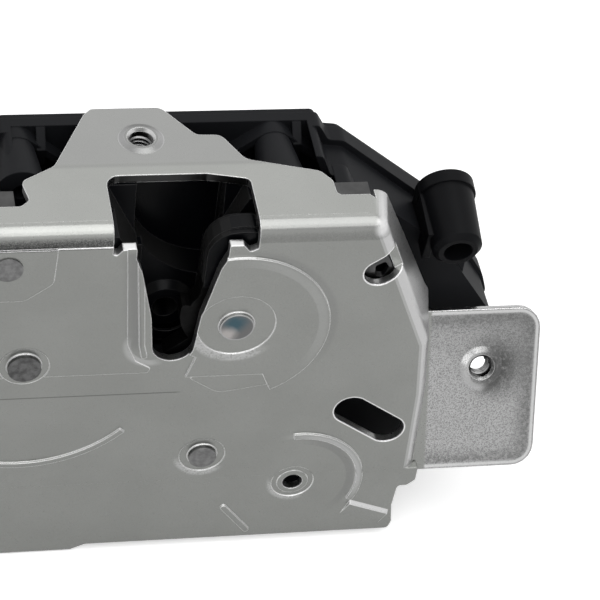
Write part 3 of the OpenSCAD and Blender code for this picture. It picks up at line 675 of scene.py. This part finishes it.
@dataclass(frozen=True)
class Embossing:
    """Scuffs, and painted light and shade: shade along a small step, soft light and shade on the
    front's pressed fields and rings, and shade left of the slot.
    """

    scuffs: tuple[Crescent, ...] = (
        Crescent((13.2, 70.5), 8.5, 10.4, (-0.35, -0.94), Coat(0.7, 0.55)),
        Crescent((9.4, 29.8), 5.3, 6.4, (-0.3, -0.95), Coat(0.7, 0.55)),
        Crescent((31.2, 19.4), 5.0, 5.8, (-0.6, -0.8), Coat(0.7, 0.55)),
    )
    scuff_gaps: Span = (0.4, 0.55)
    scuff_least: float = 0.3
    # Painted highlights and shade on the pressed beads and rings.
    painted_relief_light: tuple[Crescent, ...] = (
        Crescent((31.5, 19.5), 14.2, 15.6, (0.8, 0.6), Coat(0.6, 0.55)),
        Crescent((31.5, 19.5), 12.2, 13.9, (0.94, 0.35), Coat(0.4, 0.2)),
        Crescent((12.8, 69.0), 18.4, 20.4, (0.85, 0.5), Coat(0.22, 0.5)),
        Crescent((12.8, 69.0), 21.1, 22.6, (0.85, 0.5), Coat(0.3, 0.2)),
        Crescent((-4.4, 65.4), 4.8, 6.3, (-0.72, -0.7), Coat(0.5, 0.55)),
    )
    # Painted shade along a small step of the front.
    step_shade: Coat = Coat(0.6, 0.08)
    seam_z: float = 0.0504
    seam_width: Span = (0.00022, 0.00008)
    seam_x: Span = (0.0035, 0.0015)
    # Painted shade left of the slot.
    sweep: Coat = Coat(0.55, 0.2)
    sweep_z: float = 0.0845
    sweep_lean: float = 0.09
    sweep_start: Span = (-0.0128, -0.0098)
    sweep_end: Span = (-0.0084, -0.0088)
    sweep_foot: Span = (0.0618, 0.066)
    sweep_top: Span = (0.0925, 0.0915)

    def scuffed(self, recipe: Recipe, base: Socket, coarse: Socket) -> Socket:
        """Paints the scuffs beside the rings.

        Args:
            recipe: The plate's recipe.
            base: Colour below.
            coarse: The plate's coarse noise.

        Returns:
            The new colour's socket.
        """
        speck = recipe.plus(self.scuff_least, recipe.rise(coarse, self.scuff_gaps))
        for scuff in self.scuffs:
            mark = recipe.times(recipe.crescent(scuff), speck, clamp=True)
            base = recipe.paint(base, mark, scuff.coat)
        return base

    def colour(self, recipe: Recipe, base: Socket, front: Socket) -> Socket:
        """Paints shade along a small step, the crescents of light and shade, and the shade left of
        the slot.

        Args:
            recipe: The plate's recipe.
            base: Colour below.
            front: Mask of the front face.

        Returns:
            The new colour's socket.
        """
        # Painted shade along the small step.
        step_shade = recipe.times(
            recipe.rise(recipe.apart(recipe.z, self.seam_z), self.seam_width),
            recipe.rise(recipe.x, self.seam_x), front,
        )
        base = recipe.paint(base, step_shade, self.step_shade)
        # Painted highlights and shade on the pressed beads and rings.
        for relief_light in self.painted_relief_light:
            base = recipe.paint(base, recipe.crescent(relief_light), relief_light.coat)
        # Painted shade left of the slot.
        lean = recipe.times(recipe.minus(recipe.z, self.sweep_z), self.sweep_lean)
        shade = recipe.times(
            recipe.band(recipe.plus(recipe.x, lean), self.sweep_start, self.sweep_end),
            recipe.band(recipe.z, self.sweep_foot, self.sweep_top), front,
        )
        return recipe.paint(base, shade, self.sweep)


@dataclass(frozen=True)
class CutFaces:
    """Painted highlights on the upward faces of the lower corner's folded step and of the mouth's
    lips, and painted shade on the mouth's sheared back.
    """

    # Painted highlight on the step's upward faces.
    step: Coat = Coat(0.8, 0.62)
    step_turn: Span = (0.15, 0.4)
    step_z: Span = (0.0135, 0.0125)
    # Painted highlight on the lips' upward faces.
    ledge_highlight: Coat = Coat(0.8, 0.7)
    ledge_turn: Span = (0.6, 0.8)
    ledge_foot: Span = (0.087, 0.0875)
    ledge_top: Span = (0.0956, 0.0953)
    ledge_x: Span = (0.0165, 0.0155)
    mouth_x: float = -0.0006
    # Painted shade on the back's forward faces.
    back: Coat = Coat(0.95, 0.03)
    back_turn: Span = (-0.5, -0.8)
    back_y: Span = (-0.0178, -0.017)
    back_z: Span = (0.089, 0.0895)

    def colour(self, recipe: Recipe, base: Socket, front: Socket) -> Socket:
        """Paints highlights on the step and the lips, and shade on the back.

        Args:
            recipe: The plate's recipe.
            base: Colour below.
            front: Mask of the front face.

        Returns:
            The new colour's socket.
        """
        _, facing_y, facing_z = recipe.facing()
        # Painted highlights on upward faces of the step and the lips.
        step = recipe.times(
            recipe.rise(facing_z, self.step_turn), recipe.rise(recipe.z, self.step_z), front
        )
        base = recipe.paint(base, step, self.step)
        ledge_highlight = recipe.times(
            recipe.rise(facing_z, self.ledge_turn),
            recipe.band(recipe.z, self.ledge_foot, self.ledge_top),
            recipe.rise(recipe.apart(recipe.x, self.mouth_x), self.ledge_x),
        )
        base = recipe.paint(base, ledge_highlight, self.ledge_highlight)
        # Painted shade on the back's forward faces.
        back = recipe.times(
            recipe.rise(facing_y, self.back_turn), recipe.rise(recipe.y, self.back_y),
            recipe.rise(recipe.z, self.back_z),
        )
        return recipe.paint(base, back, self.back)


@dataclass(frozen=True)
class Edging:
    """Painted highlights on the edges and round the holes, but not where sheet lies flush, is
    rolled or is pressed round a thread.

    Thread is the middle of the tongue's thread seen from above, in metres. Each hole holds the
    middles of its two ends and their radius.
    """

    # Painted highlight on the edges.
    edge_wear_and_highlight: Coat = Coat(0.7, 0.8)
    highlight_width: float = 0.00032
    highlight_turn: Span = (0.965, 0.85)
    # Painted highlight on strongly turned edges and round the holes.
    rim_highlights: Coat = Coat(0.85, 0.95)
    rim_width: float = 0.0005
    rim_turn: Span = (0.9, 0.76)
    field_foot: Span = (0.0926, 0.0932)
    field_top: Span = (0.0956, 0.0948)
    joint_z: float = 0.0223
    joint_width: Span = (0.0006, 0.0009)
    thread: Point = (-0.0057, 0.0072)
    thread_start: Span = (0.0031, 0.0036)
    thread_end: Span = (0.0052, 0.0046)
    # Painted shade on a ring round the tongue's thread.
    thread_ring_shade: Coat = Coat(0.5, 0.15)
    holes: tuple[tuple[Point, Point, float], ...] = (
        ((42.1, 42.2), (51.1, 35.5), 4),
        ((42.8, 84), (46.2, 86.6), 3.4),
    )
    hole_start: Span = (-0.0003, -0.0001)
    hole_end: Span = (0.0004, 0.00015)

    def colour(self, recipe: Recipe, base: Socket, front: Socket, across: Socket) -> Socket:
        """Paints shade on a ring round the tongue's thread, then highlights on the edges and round
        the holes.

        Args:
            recipe: The plate's recipe.
            base: Colour below.
            front: Mask of the front face.
            across: Distance from the middle of the lock, in metres.

        Returns:
            The new colour's socket.
        """
        rolled = recipe.times(recipe.band(recipe.z, self.field_foot, self.field_top), front)
        flush = recipe.rise(recipe.apart(recipe.z, self.joint_z), self.joint_width)
        clear = recipe.math("MAXIMUM", flush, recipe.minus(1.0, front))
        thread_x, thread_y = self.thread
        away = recipe.length(recipe.minus(recipe.x, thread_x), recipe.minus(recipe.y, thread_y))
        ring = recipe.band(away, self.thread_start, self.thread_end)
        edges = recipe.times(
            recipe.edges(self.highlight_width, self.highlight_turn), recipe.minus(1.0, rolled), clear,
            recipe.minus(1.0, ring),
        )
        # Painted shade on the ring round the tongue's thread.
        base = recipe.paint(base, ring, self.thread_ring_shade)
        # Painted highlights on the edges, then round the holes.
        base = recipe.paint(base, edges, self.edge_wear_and_highlight)
        rim_highlights = recipe.times(recipe.edges(self.rim_width, self.rim_turn), clear)
        for start, end, radius in self.holes:
            off = recipe.outside(across, recipe.z, start, end, radius)
            line = recipe.times(recipe.band(off, self.hole_start, self.hole_end), front)
            rim_highlights = recipe.math("MAXIMUM", rim_highlights, line)
        return recipe.paint(base, rim_highlights, self.rim_highlights)


@dataclass(frozen=True)
class ZincPlate(Metal):
    """Zinc-plated pressed sheet: satin front, drawn grain with a painted dark reflection below the
    bend, speckled ears, and painted light and shade on its walls, pressings and edges.
    """

    spread: float = 0.2
    clouds: Grain = (0.018, 3, 0.5)
    coarse: Grain = (0.0004, 4, 0.7)
    speckle: Coat = Coat(0.25, 0.21)
    speckle_span: Span = (0.56, 0.7)
    front_y: Span = (-0.0185, -0.0203)
    # Painted light on the walls that turn to the side.
    side_light_tone: float = 0.56
    side_light_turn: Span = (0.1, 0.5)
    ear_x: Span = (0.0622, 0.0628)
    ear_cover: float = 0.9
    drawn_rough: float = 0.12
    ear_smooth: float = 0.08
    flange: Flange = Flange()
    embossing: Embossing = Embossing()
    cut_faces: CutFaces = CutFaces()
    edging: Edging = Edging()
    ear_face: EarFace = EarFace()

    def material(self) -> bpy.types.Material:
        """Builds the finish.

        Returns:
            The material.
        """
        recipe = Recipe(self.name)
        front = recipe.rise(recipe.y, self.front_y)
        across = recipe.math("ABSOLUTE", recipe.x)
        aside = recipe.rise(across, self.ear_x)
        fine = recipe.noise(self.grain, detail=3, rough=0.7)
        coarse = recipe.noise(*self.coarse)
        base = recipe.blend(recipe.mottle(self.clouds, CLOUDS), self.dark, self.light)
        base = recipe.paint(base, recipe.rise(fine, self.speckle_span), self.speckle)
        base = self.flange.colour(recipe, base)
        # Painted light on faces that turn to the side.
        turned = recipe.rise(recipe.math("ABSOLUTE", recipe.facing()[0]), self.side_light_turn)
        base = recipe.blend(turned, base, grey(self.side_light_tone))
        # Band of the drawn grain, which also takes the painted dark reflection.
        drawn = recipe.times(
            front, recipe.band(recipe.z, self.flange.drawn_foot, self.flange.drawn_top)
        )
        base = self.flange.drawn_grain_and_reflection(recipe, base, drawn)
        base = self.flange.corners(recipe, base, across)
        base = self.embossing.scuffed(recipe, base, coarse)
        ear = self.ear_face.colour(recipe, across)
        base = recipe.blend(recipe.times(aside, self.ear_cover), base, ear)
        base = self.embossing.colour(recipe, base, front)
        base = self.cut_faces.colour(recipe, base, front)
        base = self.edging.colour(recipe, base, front, across)
        rough = recipe.times(recipe.minus(fine, NEUTRAL), self.spread)
        rough = recipe.plus(rough, self.roughness)
        rough = recipe.plus(rough, recipe.times(drawn, self.drawn_rough))
        recipe.finish(
            Base_Color=base,
            Roughness=recipe.minus(rough, recipe.times(aside, self.ear_smooth), True),
            Metallic=1.0,
        )
        tall = recipe.plus(fine, recipe.times(coarse, recipe.plus(drawn, aside)))
        recipe.relief(tall, self.depth, self.edge)
        return recipe.material


@dataclass(frozen=True)
class PinFace(Metal):
    """Ground pin whose front face takes a painted bluish reflection and a painted pale highlight.

    The pin's middle is a point of the front view; notch, blue and pale are offsets from it.
    """

    pin: Point = (13.2, 70.5)
    face_y: Span = (FRONT_Y - 0.0009, FRONT_Y - 0.00105)
    face_r: Span = (0.0036, 0.0033)
    notch: Point = (-18, 0)
    notch_r: Span = (0.012, 0.013)
    drift: Grain = (0.002, 3)
    drift_depth: float = 0.0015
    steel: float = 0.16
    blue: Point = (-0.4, 1.3)
    blue_r: Span = (0.0036, 0.0008)
    # Painted bluish reflection.
    blue_reflection: Colour = (0.062, 0.11, 0.135, 1)
    pale: Point = (-2, -2)
    pale_r: Span = (0.003, 0.0004)
    # Painted pale highlight.
    pale_highlight: Colour = (0.42, 0.4, 0.39, 1)
    smoother: float = 0.2

    def off(self, recipe: Recipe, offset: Point = (0, 0)) -> Socket:
        """Distance from a point beside the pin's middle.

        Args:
            recipe: The pin's recipe.
            offset: Where the point lies from the middle, in millimetres.

        Returns:
            The distance's socket, in metres.
        """
        return recipe.distance(self.pin[0] + offset[0], self.pin[1] + offset[1])

    def material(self) -> bpy.types.Material:
        """Builds the finish.

        Returns:
            The material.
        """
        recipe = Recipe(self.name)
        amount = recipe.times(
            recipe.rise(recipe.y, self.face_y), recipe.rise(self.off(recipe), self.face_r),
            recipe.rise(self.off(recipe, self.notch), self.notch_r),
        )
        drift = recipe.minus(recipe.noise(*self.drift), NEUTRAL)
        drift = recipe.times(drift, self.drift_depth)
        blue = recipe.rise(recipe.plus(self.off(recipe, self.blue), drift), self.blue_r)
        pale = recipe.rise(recipe.plus(self.off(recipe, self.pale), drift), self.pale_r)
        # Painted bluish reflection, then a painted pale highlight.
        tint = recipe.blend(blue, grey(self.steel), self.blue_reflection)
        tint = recipe.blend(pale, tint, self.pale_highlight)
        recipe.finish(
            Base_Color=recipe.blend(amount, self.light, tint),
            Roughness=recipe.minus(self.roughness, recipe.times(amount, self.smoother), True),
            Metallic=1.0,
        )
        recipe.relief(recipe.noise(self.grain, detail=2), self.depth, self.edge)
        return recipe.material


@dataclass(frozen=True)
class Moulded:
    """Injection-moulded plastic or rubber with a fine eroded grain; where set, a painted highlight
    on its edges and painted light on faces that turn to the side.
    """

    name: str
    colour: Colour
    roughness: float = 0.5
    gloss: float = 0.35
    grain: float = 0.00035
    depth: float = 0.00001
    edge: float = 0.0004
    # Painted highlight on the edges.
    smudge_and_edge_highlight: float = 0.0
    edge_highlight_tone: float = 0.3
    edge_highlight_width: float = 0.00025
    edge_highlight_turn: Span = (0.965, 0.85)
    # Painted light on faces that turn to the side.
    aside: float = 0.0
    lit_side_turn: Span = (0.15, 0.6)
    clouds: Grain = (0.02, 3)
    darkest: float = 0.75
    spread: float = 0.1

    def material(self) -> bpy.types.Material:
        """Builds the finish.

        Returns:
            The material.
        """
        recipe = Recipe(self.name)
        cloud = recipe.mottle(self.clouds, CLOUDS)
        darker = tuple(self.darkest * part for part in self.colour[:3]) + (1.0,)
        base = recipe.blend(cloud, darker, self.colour)
        # Painted highlight on the edges.
        if self.smudge_and_edge_highlight:
            edges = recipe.edges(self.edge_highlight_width, self.edge_highlight_turn)
            base = recipe.paint(base, edges, Coat(self.smudge_and_edge_highlight, self.edge_highlight_tone))
        # Painted light on faces that turn to the side.
        if self.aside:
            turned = recipe.rise(recipe.math("ABSOLUTE", recipe.facing()[0]), self.lit_side_turn)
            base = recipe.blend(turned, base, grey(self.aside))
        recipe.finish(
            Base_Color=base,
            Roughness=recipe.uneven(self.roughness, cloud, self.spread),
            Specular_IOR_Level=self.gloss,
        )
        recipe.relief(recipe.noise(self.grain, detail=2, rough=0.6), self.depth, self.edge)
        return recipe.material


@dataclass
class Finishes:
    """All finishes of the lock, built once."""

    zinc: Metal = ZincPlate(
        "zinc_plate", (0.298, 0.303, 0.291, 1), (0.28, 0.285, 0.273, 1), 0.3,
        depth=0.000005, edge=0.0005,
    )
    inner: Metal = Metal("inner_zinc", grey(0.08), grey(0.055), 0.38)
    pin: Metal = PinFace("ground_pin", grey(0.4), grey(0.32), 0.3)
    rivet: Metal = Metal(
        "rivet_head", grey(0.23), grey(0.15), 0.34, patch=0.0012, grain=0.0005, depth=0.00006
    )
    pawl_rivet: Metal = Metal(
        "pawl_rivet", grey(0.15), grey(0.075), 0.34, patch=0.0014, grain=0.0005, depth=0.00006
    )
    # The threads are darker than the plate: painted shade inside their bores.
    thread: Metal = Metal("thread_zinc", grey(0.2), grey(0.13), 0.28, grain=0.0002)
    turned: Metal = Metal("turned_steel", grey(0.5), grey(0.4), 0.26, grain=0.0002)
    hard: Metal = Metal("phosphated_steel", grey(0.014), grey(0.008), 0.5, patch=0.003)
    spring: Metal = Metal("spring_wire", grey(0.35), grey(0.25), 0.3)
    can: Metal = Metal("motor_can", grey(0.5), grey(0.43), 0.33, stretch=(0.1, 1, 1))
    brass: Metal = Metal("brass", (0.7, 0.52, 0.23, 1), (0.55, 0.4, 0.17, 1), 0.34)
    black: Moulded = Moulded("black_grain", (0.0102, 0.0107, 0.0123, 1), 0.5, 0.07)
    satin: Moulded = Moulded(
        "black_satin", (0.0042, 0.0044, 0.0052, 1), 0.42, 0.07, depth=0.000004
    )
    # The liner and catch cover take a painted highlight on their edges and painted light on their
    # side faces.
    gloss: Moulded = Moulded(
        "black_gloss", (0.0022, 0.0024, 0.0032, 1), 0.3, 0.08, depth=0.000002,
        smudge_and_edge_highlight=0.16, aside=0.011,
    )
    rubber: Moulded = Moulded("rubber", (0.02, 0.02, 0.021, 1), 0.75, 0.2)
    natural: Moulded = Moulded("natural_acetal", (0.72, 0.69, 0.6, 1), 0.38, 0.4)
    red: Moulded = Moulded("red_plunger", (0.45, 0.05, 0.04, 1), 0.4, 0.4)
    built: dict[str, bpy.types.Material] = field(default_factory=dict)

    def of(self, finish: Metal | Moulded) -> bpy.types.Material:
        """The material of a finish, built at its first use.

        Args:
            finish: One of the finishes above.

        Returns:
            Its material.
        """
        if finish.name not in self.built:
            self.built[finish.name] = finish.material()
        return self.built[finish.name]

    def dress(self, piece: bpy.types.Object, finish: Metal | Moulded) -> None:
        """Gives a piece its finish.

        Args:
            piece: CAD node or new piece.
            finish: The finish that it takes.
        """
        piece.data.materials.clear()
        piece.data.materials.append(self.of(finish))
        LOG.info("%s: %s", piece.name, finish.name)

    def dress_all(self, finishes: dict[str, Metal | Moulded]) -> None:
        """Gives several CAD nodes their finishes.

        Args:
            finishes: Finish by the node's name.
        """
        for name, finish in finishes.items():
            self.dress(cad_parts[name], finish)


def deselect() -> None:
    """Deselects every object."""
    bpy.ops.object.select_all(action="DESELECT")


def settle(piece: bpy.types.Object) -> None:
    """Moves a piece's place into its mesh.

    Args:
        piece: The new piece.
    """
    deselect()
    piece.select_set(True)
    bpy.context.view_layer.objects.active = piece
    bpy.ops.object.transform_apply(location=True, rotation=True, scale=True)


@dataclass
class ThreadRidges:
    """Ridges of one M6 thread, standing in its bore; all lengths are in metres."""

    name: str
    mouth: Vector
    axis: Vector
    length: float = 0.0044
    core_r: float = 0.0025
    height: float = 0.00036
    pitch: float = 0.001
    sunk: float = 0.4
    steps: int = 40
    lead: float = 0.0005
    weld: float = 1e-6

    def build(self) -> bpy.types.Object:
        """Winds a three-sided profile up the bore.

        Returns:
            The finished piece.
        """
        quarter = math.pi / 2
        deselect()
        bpy.ops.mesh.primitive_circle_add(
            vertices=3, radius=self.height, fill_type="NGON", rotation=(quarter, 0, 0)
        )
        piece = bpy.context.object
        piece.name = self.name
        settle(piece)
        low = min(v.co.z for v in piece.data.vertices)
        bpy.ops.object.mode_set(mode="EDIT")
        bpy.ops.mesh.select_all(action="SELECT")
        bpy.ops.transform.rotate(value=quarter, orient_axis="Y", center_override=(0, 0, 0))
        bpy.ops.transform.translate(value=(self.core_r + low * self.sunk, 0, 0))
        bpy.ops.object.mode_set(mode="OBJECT")
        turns = piece.modifiers.new("turns", "SCREW")
        turns.axis = "Z"
        turns.steps = turns.render_steps = self.steps
        turns.screw_offset = self.pitch
        turns.iterations = int(self.length / self.pitch) - 1
        bpy.ops.object.modifier_apply(modifier="turns")
        bpy.ops.object.mode_set(mode="EDIT")
        bpy.ops.mesh.select_all(action="SELECT")
        bpy.ops.mesh.remove_doubles(threshold=self.weld)
        bpy.ops.mesh.normals_make_consistent(inside=False)
        bpy.ops.object.mode_set(mode="OBJECT")
        up = self.axis.normalized()
        turn = up.to_track_quat("Z", "Y").to_matrix().to_4x4()
        piece.matrix_world = Matrix.Translation(self.mouth - up * (self.length - self.lead)) @ turn
        settle(piece)
        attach(piece, "lock_body")
        return piece


@dataclass
class StrikerPlate:
    """Folded plate with its tongue, ears and threads."""

    finishes: Finishes
    tongue: Vector = field(default_factory=lambda: Vector((-0.0057, 0.0072, 0.0961)))
    tongue_axis: Vector = field(default_factory=lambda: Vector((0, 0, 1)))
    tongue_rise: float = 0.0018
    ear_axis: Vector = field(default_factory=lambda: Vector((0, -0.9063078, 0.4226183)))
    ear_rise: float = 0.0012
    ear_z: float = 0.0412778
    ear_y: float = -0.0078169
    ear_x: float = 0.0747

    def ridges(self, name: str, mouth: Vector, axis: Vector) -> None:
        """Builds and dresses the ridges of one thread.

        Args:
            name: Name of the piece.
            mouth: Where the thread opens.
            axis: Its direction, outward.
        """
        self.finishes.dress(ThreadRidges(name, mouth, axis).build(), self.finishes.thread)

    def build(self) -> None:
        """Dresses the plate and cuts its threads."""
        self.finishes.dress(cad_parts["striker_plate"], self.finishes.zinc)
        top = self.tongue + self.tongue_axis * self.tongue_rise
        self.ridges("tongue_thread", top, self.tongue_axis)
        for side in Side:
            ear = Vector((side.value * self.ear_x, self.ear_y, self.ear_z))
            mouth = ear + self.ear_axis * self.ear_rise
            self.ridges(f"ear_thread_{side.name.lower()}", mouth, self.ear_axis)


@dataclass
class Latch:
    """Catch, pawl, their pins, springs and the mouth's mouldings."""

    finishes: Finishes

    def build(self) -> None:
        """Dresses each piece."""
        f = self.finishes
        f.dress_all({
            "inner_plate": f.inner, "catch_pin": f.pin, "pawl_pin": f.pawl_rivet,
            "spacer_rivets": f.rivet, "catch": f.hard, "catch_cover": f.gloss,
            "catch_spring": f.spring, "pawl": f.hard, "pawl_spring": f.spring,
            "stop_buffer": f.rubber, "mouth_liner": f.gloss,
        })


@dataclass
class Mouldings:
    """Housing, boss, cover, connector and screws."""

    finishes: Finishes

    def build(self) -> None:
        """Dresses each piece."""
        f = self.finishes
        f.dress_all({
            "housing": f.black, "guide_boss": f.satin, "rear_cover": f.black,
            "cover_screws": f.turned, "connector_socket": f.black, "connector_pins": f.brass,
            "motor_cradle": f.black,
        })


@dataclass
class Drive:
    """Motor, worm, gear and switch."""

    finishes: Finishes

    def build(self) -> None:
        """Dresses each piece."""
        f = self.finishes
        f.dress_all({
            "motor_can": f.can, "motor_end_cap": f.black, "motor_terminals": f.brass,
            "motor_shaft": f.turned, "worm": f.brass, "drive_gear": f.natural,
            "gear_pin": f.turned, "switch_body": f.black, "switch_plunger": f.red,
            "switch_terminals": f.brass,
        })


@dataclass(frozen=True)
class Softbox:
    """Square lamp that faces the lock: place and side in metres, power in watts."""

    name: str
    place: tuple[float, float, float]
    size: float
    power: float


@dataclass
class Studio:
    """Floor, white surround, soft lamps and the camera."""

    target: Vector = field(default_factory=lambda: Vector((0.0263, -0.0217, 0.077)))
    across: Vector = field(default_factory=lambda: Vector((0.9787, -0.1696, 0.1144)))
    back: Vector = field(default_factory=lambda: Vector((-0.2016, -0.7030, 0.6820)))
    distance: float = 0.55319
    lens: float = 156.0
    sensor: float = 36.0
    clip: tuple[float, float] = (0.01, 50.0)
    aim: Vector = field(default_factory=lambda: Vector((0, 0, 0.05)))
    world_light: float = 0.5
    world_white: float = 1.0
    floor_size: float = 6
    floor_z: float = -0.0005
    floor_patch: float = 0.3
    floor_tones: tuple[float, float] = (0.8, 0.82)
    floor_rough: float = 0.9
    floor_glow: float = 0.5
    mirror_glow: float = 0.05
    lamps: tuple[Softbox, ...] = (
        Softbox("overhead_softbox", (0.24, -0.33, 1.15), 1.2, 9.5),
        Softbox("rear_softbox", (0.25, 0.9, 0.9), 1.0, 1.3),
        Softbox("front_softbox", (-0.7, -1.3, 0.9), 1.0, 4),
    )

    def camera(self) -> None:
        """Adds the camera at the photograph's angle."""
        data = bpy.data.cameras.new("camera")
        data.lens, data.sensor_width, data.sensor_fit = self.lens, self.sensor, "HORIZONTAL"
        data.clip_start, data.clip_end = self.clip
        camera = bpy.data.objects.new("camera", data)
        bpy.context.scene.collection.objects.link(camera)
        z = self.back.normalized()
        x = (self.across - z * self.across.dot(z)).normalized()
        turn = Matrix((x, z.cross(x), z)).transposed().to_4x4()
        camera.matrix_world = Matrix.Translation(self.target + z * self.distance) @ turn
        bpy.context.scene.camera = camera

    def lamp(self, softbox: Softbox) -> None:
        """Adds a soft lamp that faces the lock.

        Args:
            softbox: The lamp.
        """
        data = bpy.data.lights.new(softbox.name, "AREA")
        data.size, data.energy = softbox.size, softbox.power
        lamp = bpy.data.objects.new(softbox.name, data)
        bpy.context.scene.collection.objects.link(lamp)
        lamp.location = softbox.place
        toward = (Vector(softbox.place) - self.aim).to_track_quat("Z", "Y")
        lamp.rotation_euler = toward.to_euler()

    def surround(self) -> None:
        """Makes the world white to the eye and to gloss, and softer as a light."""
        world = bpy.data.worlds.new("studio")
        bpy.context.scene.world = world
        world.use_nodes = True
        tree = world.node_tree
        path = tree.nodes.new("ShaderNodeLightPath").outputs
        seen = path["Is Camera Ray"]
        for ray in ("Is Glossy Ray", "Is Transmission Ray"):
            either = tree.nodes.new("ShaderNodeMath")
            either.operation = "MAXIMUM"
            tree.links.new(seen, either.inputs[0])
            tree.links.new(path[ray], either.inputs[1])
            seen = either.outputs[0]
        strength = tree.nodes.new("ShaderNodeMapRange")
        strength.inputs["To Min"].default_value = self.world_light
        strength.inputs["To Max"].default_value = self.world_white
        tree.links.new(seen, strength.inputs["Value"])
        background = tree.nodes["Background"]
        background.inputs["Color"].default_value = grey(1.0)
        tree.links.new(strength.outputs[0], background.inputs["Strength"])

    def floor(self) -> None:
        """Lays the pale floor, which keeps the lock's soft shadow."""
        deselect()
        bpy.ops.mesh.primitive_plane_add(size=self.floor_size, location=(0, 0, self.floor_z))
        floor = bpy.context.object
        floor.name = "floor"
        recipe = Recipe("pale_floor")
        path = recipe.node("ShaderNodeLightPath").outputs
        seen = recipe.times(path["Is Camera Ray"], self.floor_glow)
        mirrored = recipe.math("MAXIMUM", path["Is Glossy Ray"], path["Is Transmission Ray"])
        recipe.finish(
            Base_Color=recipe.blend(recipe.noise(self.floor_patch), *map(grey, self.floor_tones)),
            Roughness=self.floor_rough,
            Specular_IOR_Level=0.0,
            Emission_Color=grey(1.0),
            Emission_Strength=recipe.plus(seen, recipe.times(mirrored, self.mirror_glow)),
        )
        floor.data.materials.append(recipe.material)

    def build(self) -> None:
        """Sets the whole studio."""
        self.camera()
        self.surround()
        self.floor()
        for softbox in self.lamps:
            self.lamp(softbox)


def main() -> None:
    """Builds the lock's looks and the studio, and reports each piece."""
    logging.basicConfig(level=logging.INFO, format="%(name)s %(message)s")
    finishes = Finishes()
    parts = (
        Studio(), StrikerPlate(finishes), Latch(finishes), Mouldings(finishes), Drive(finishes)
    )
    for part in parts:
        part.build()
        LOG.info("%s done", type(part).__name__)
    bpy.context.scene.view_settings.view_transform = "Standard"


if __name__ == "__main__":
    main()
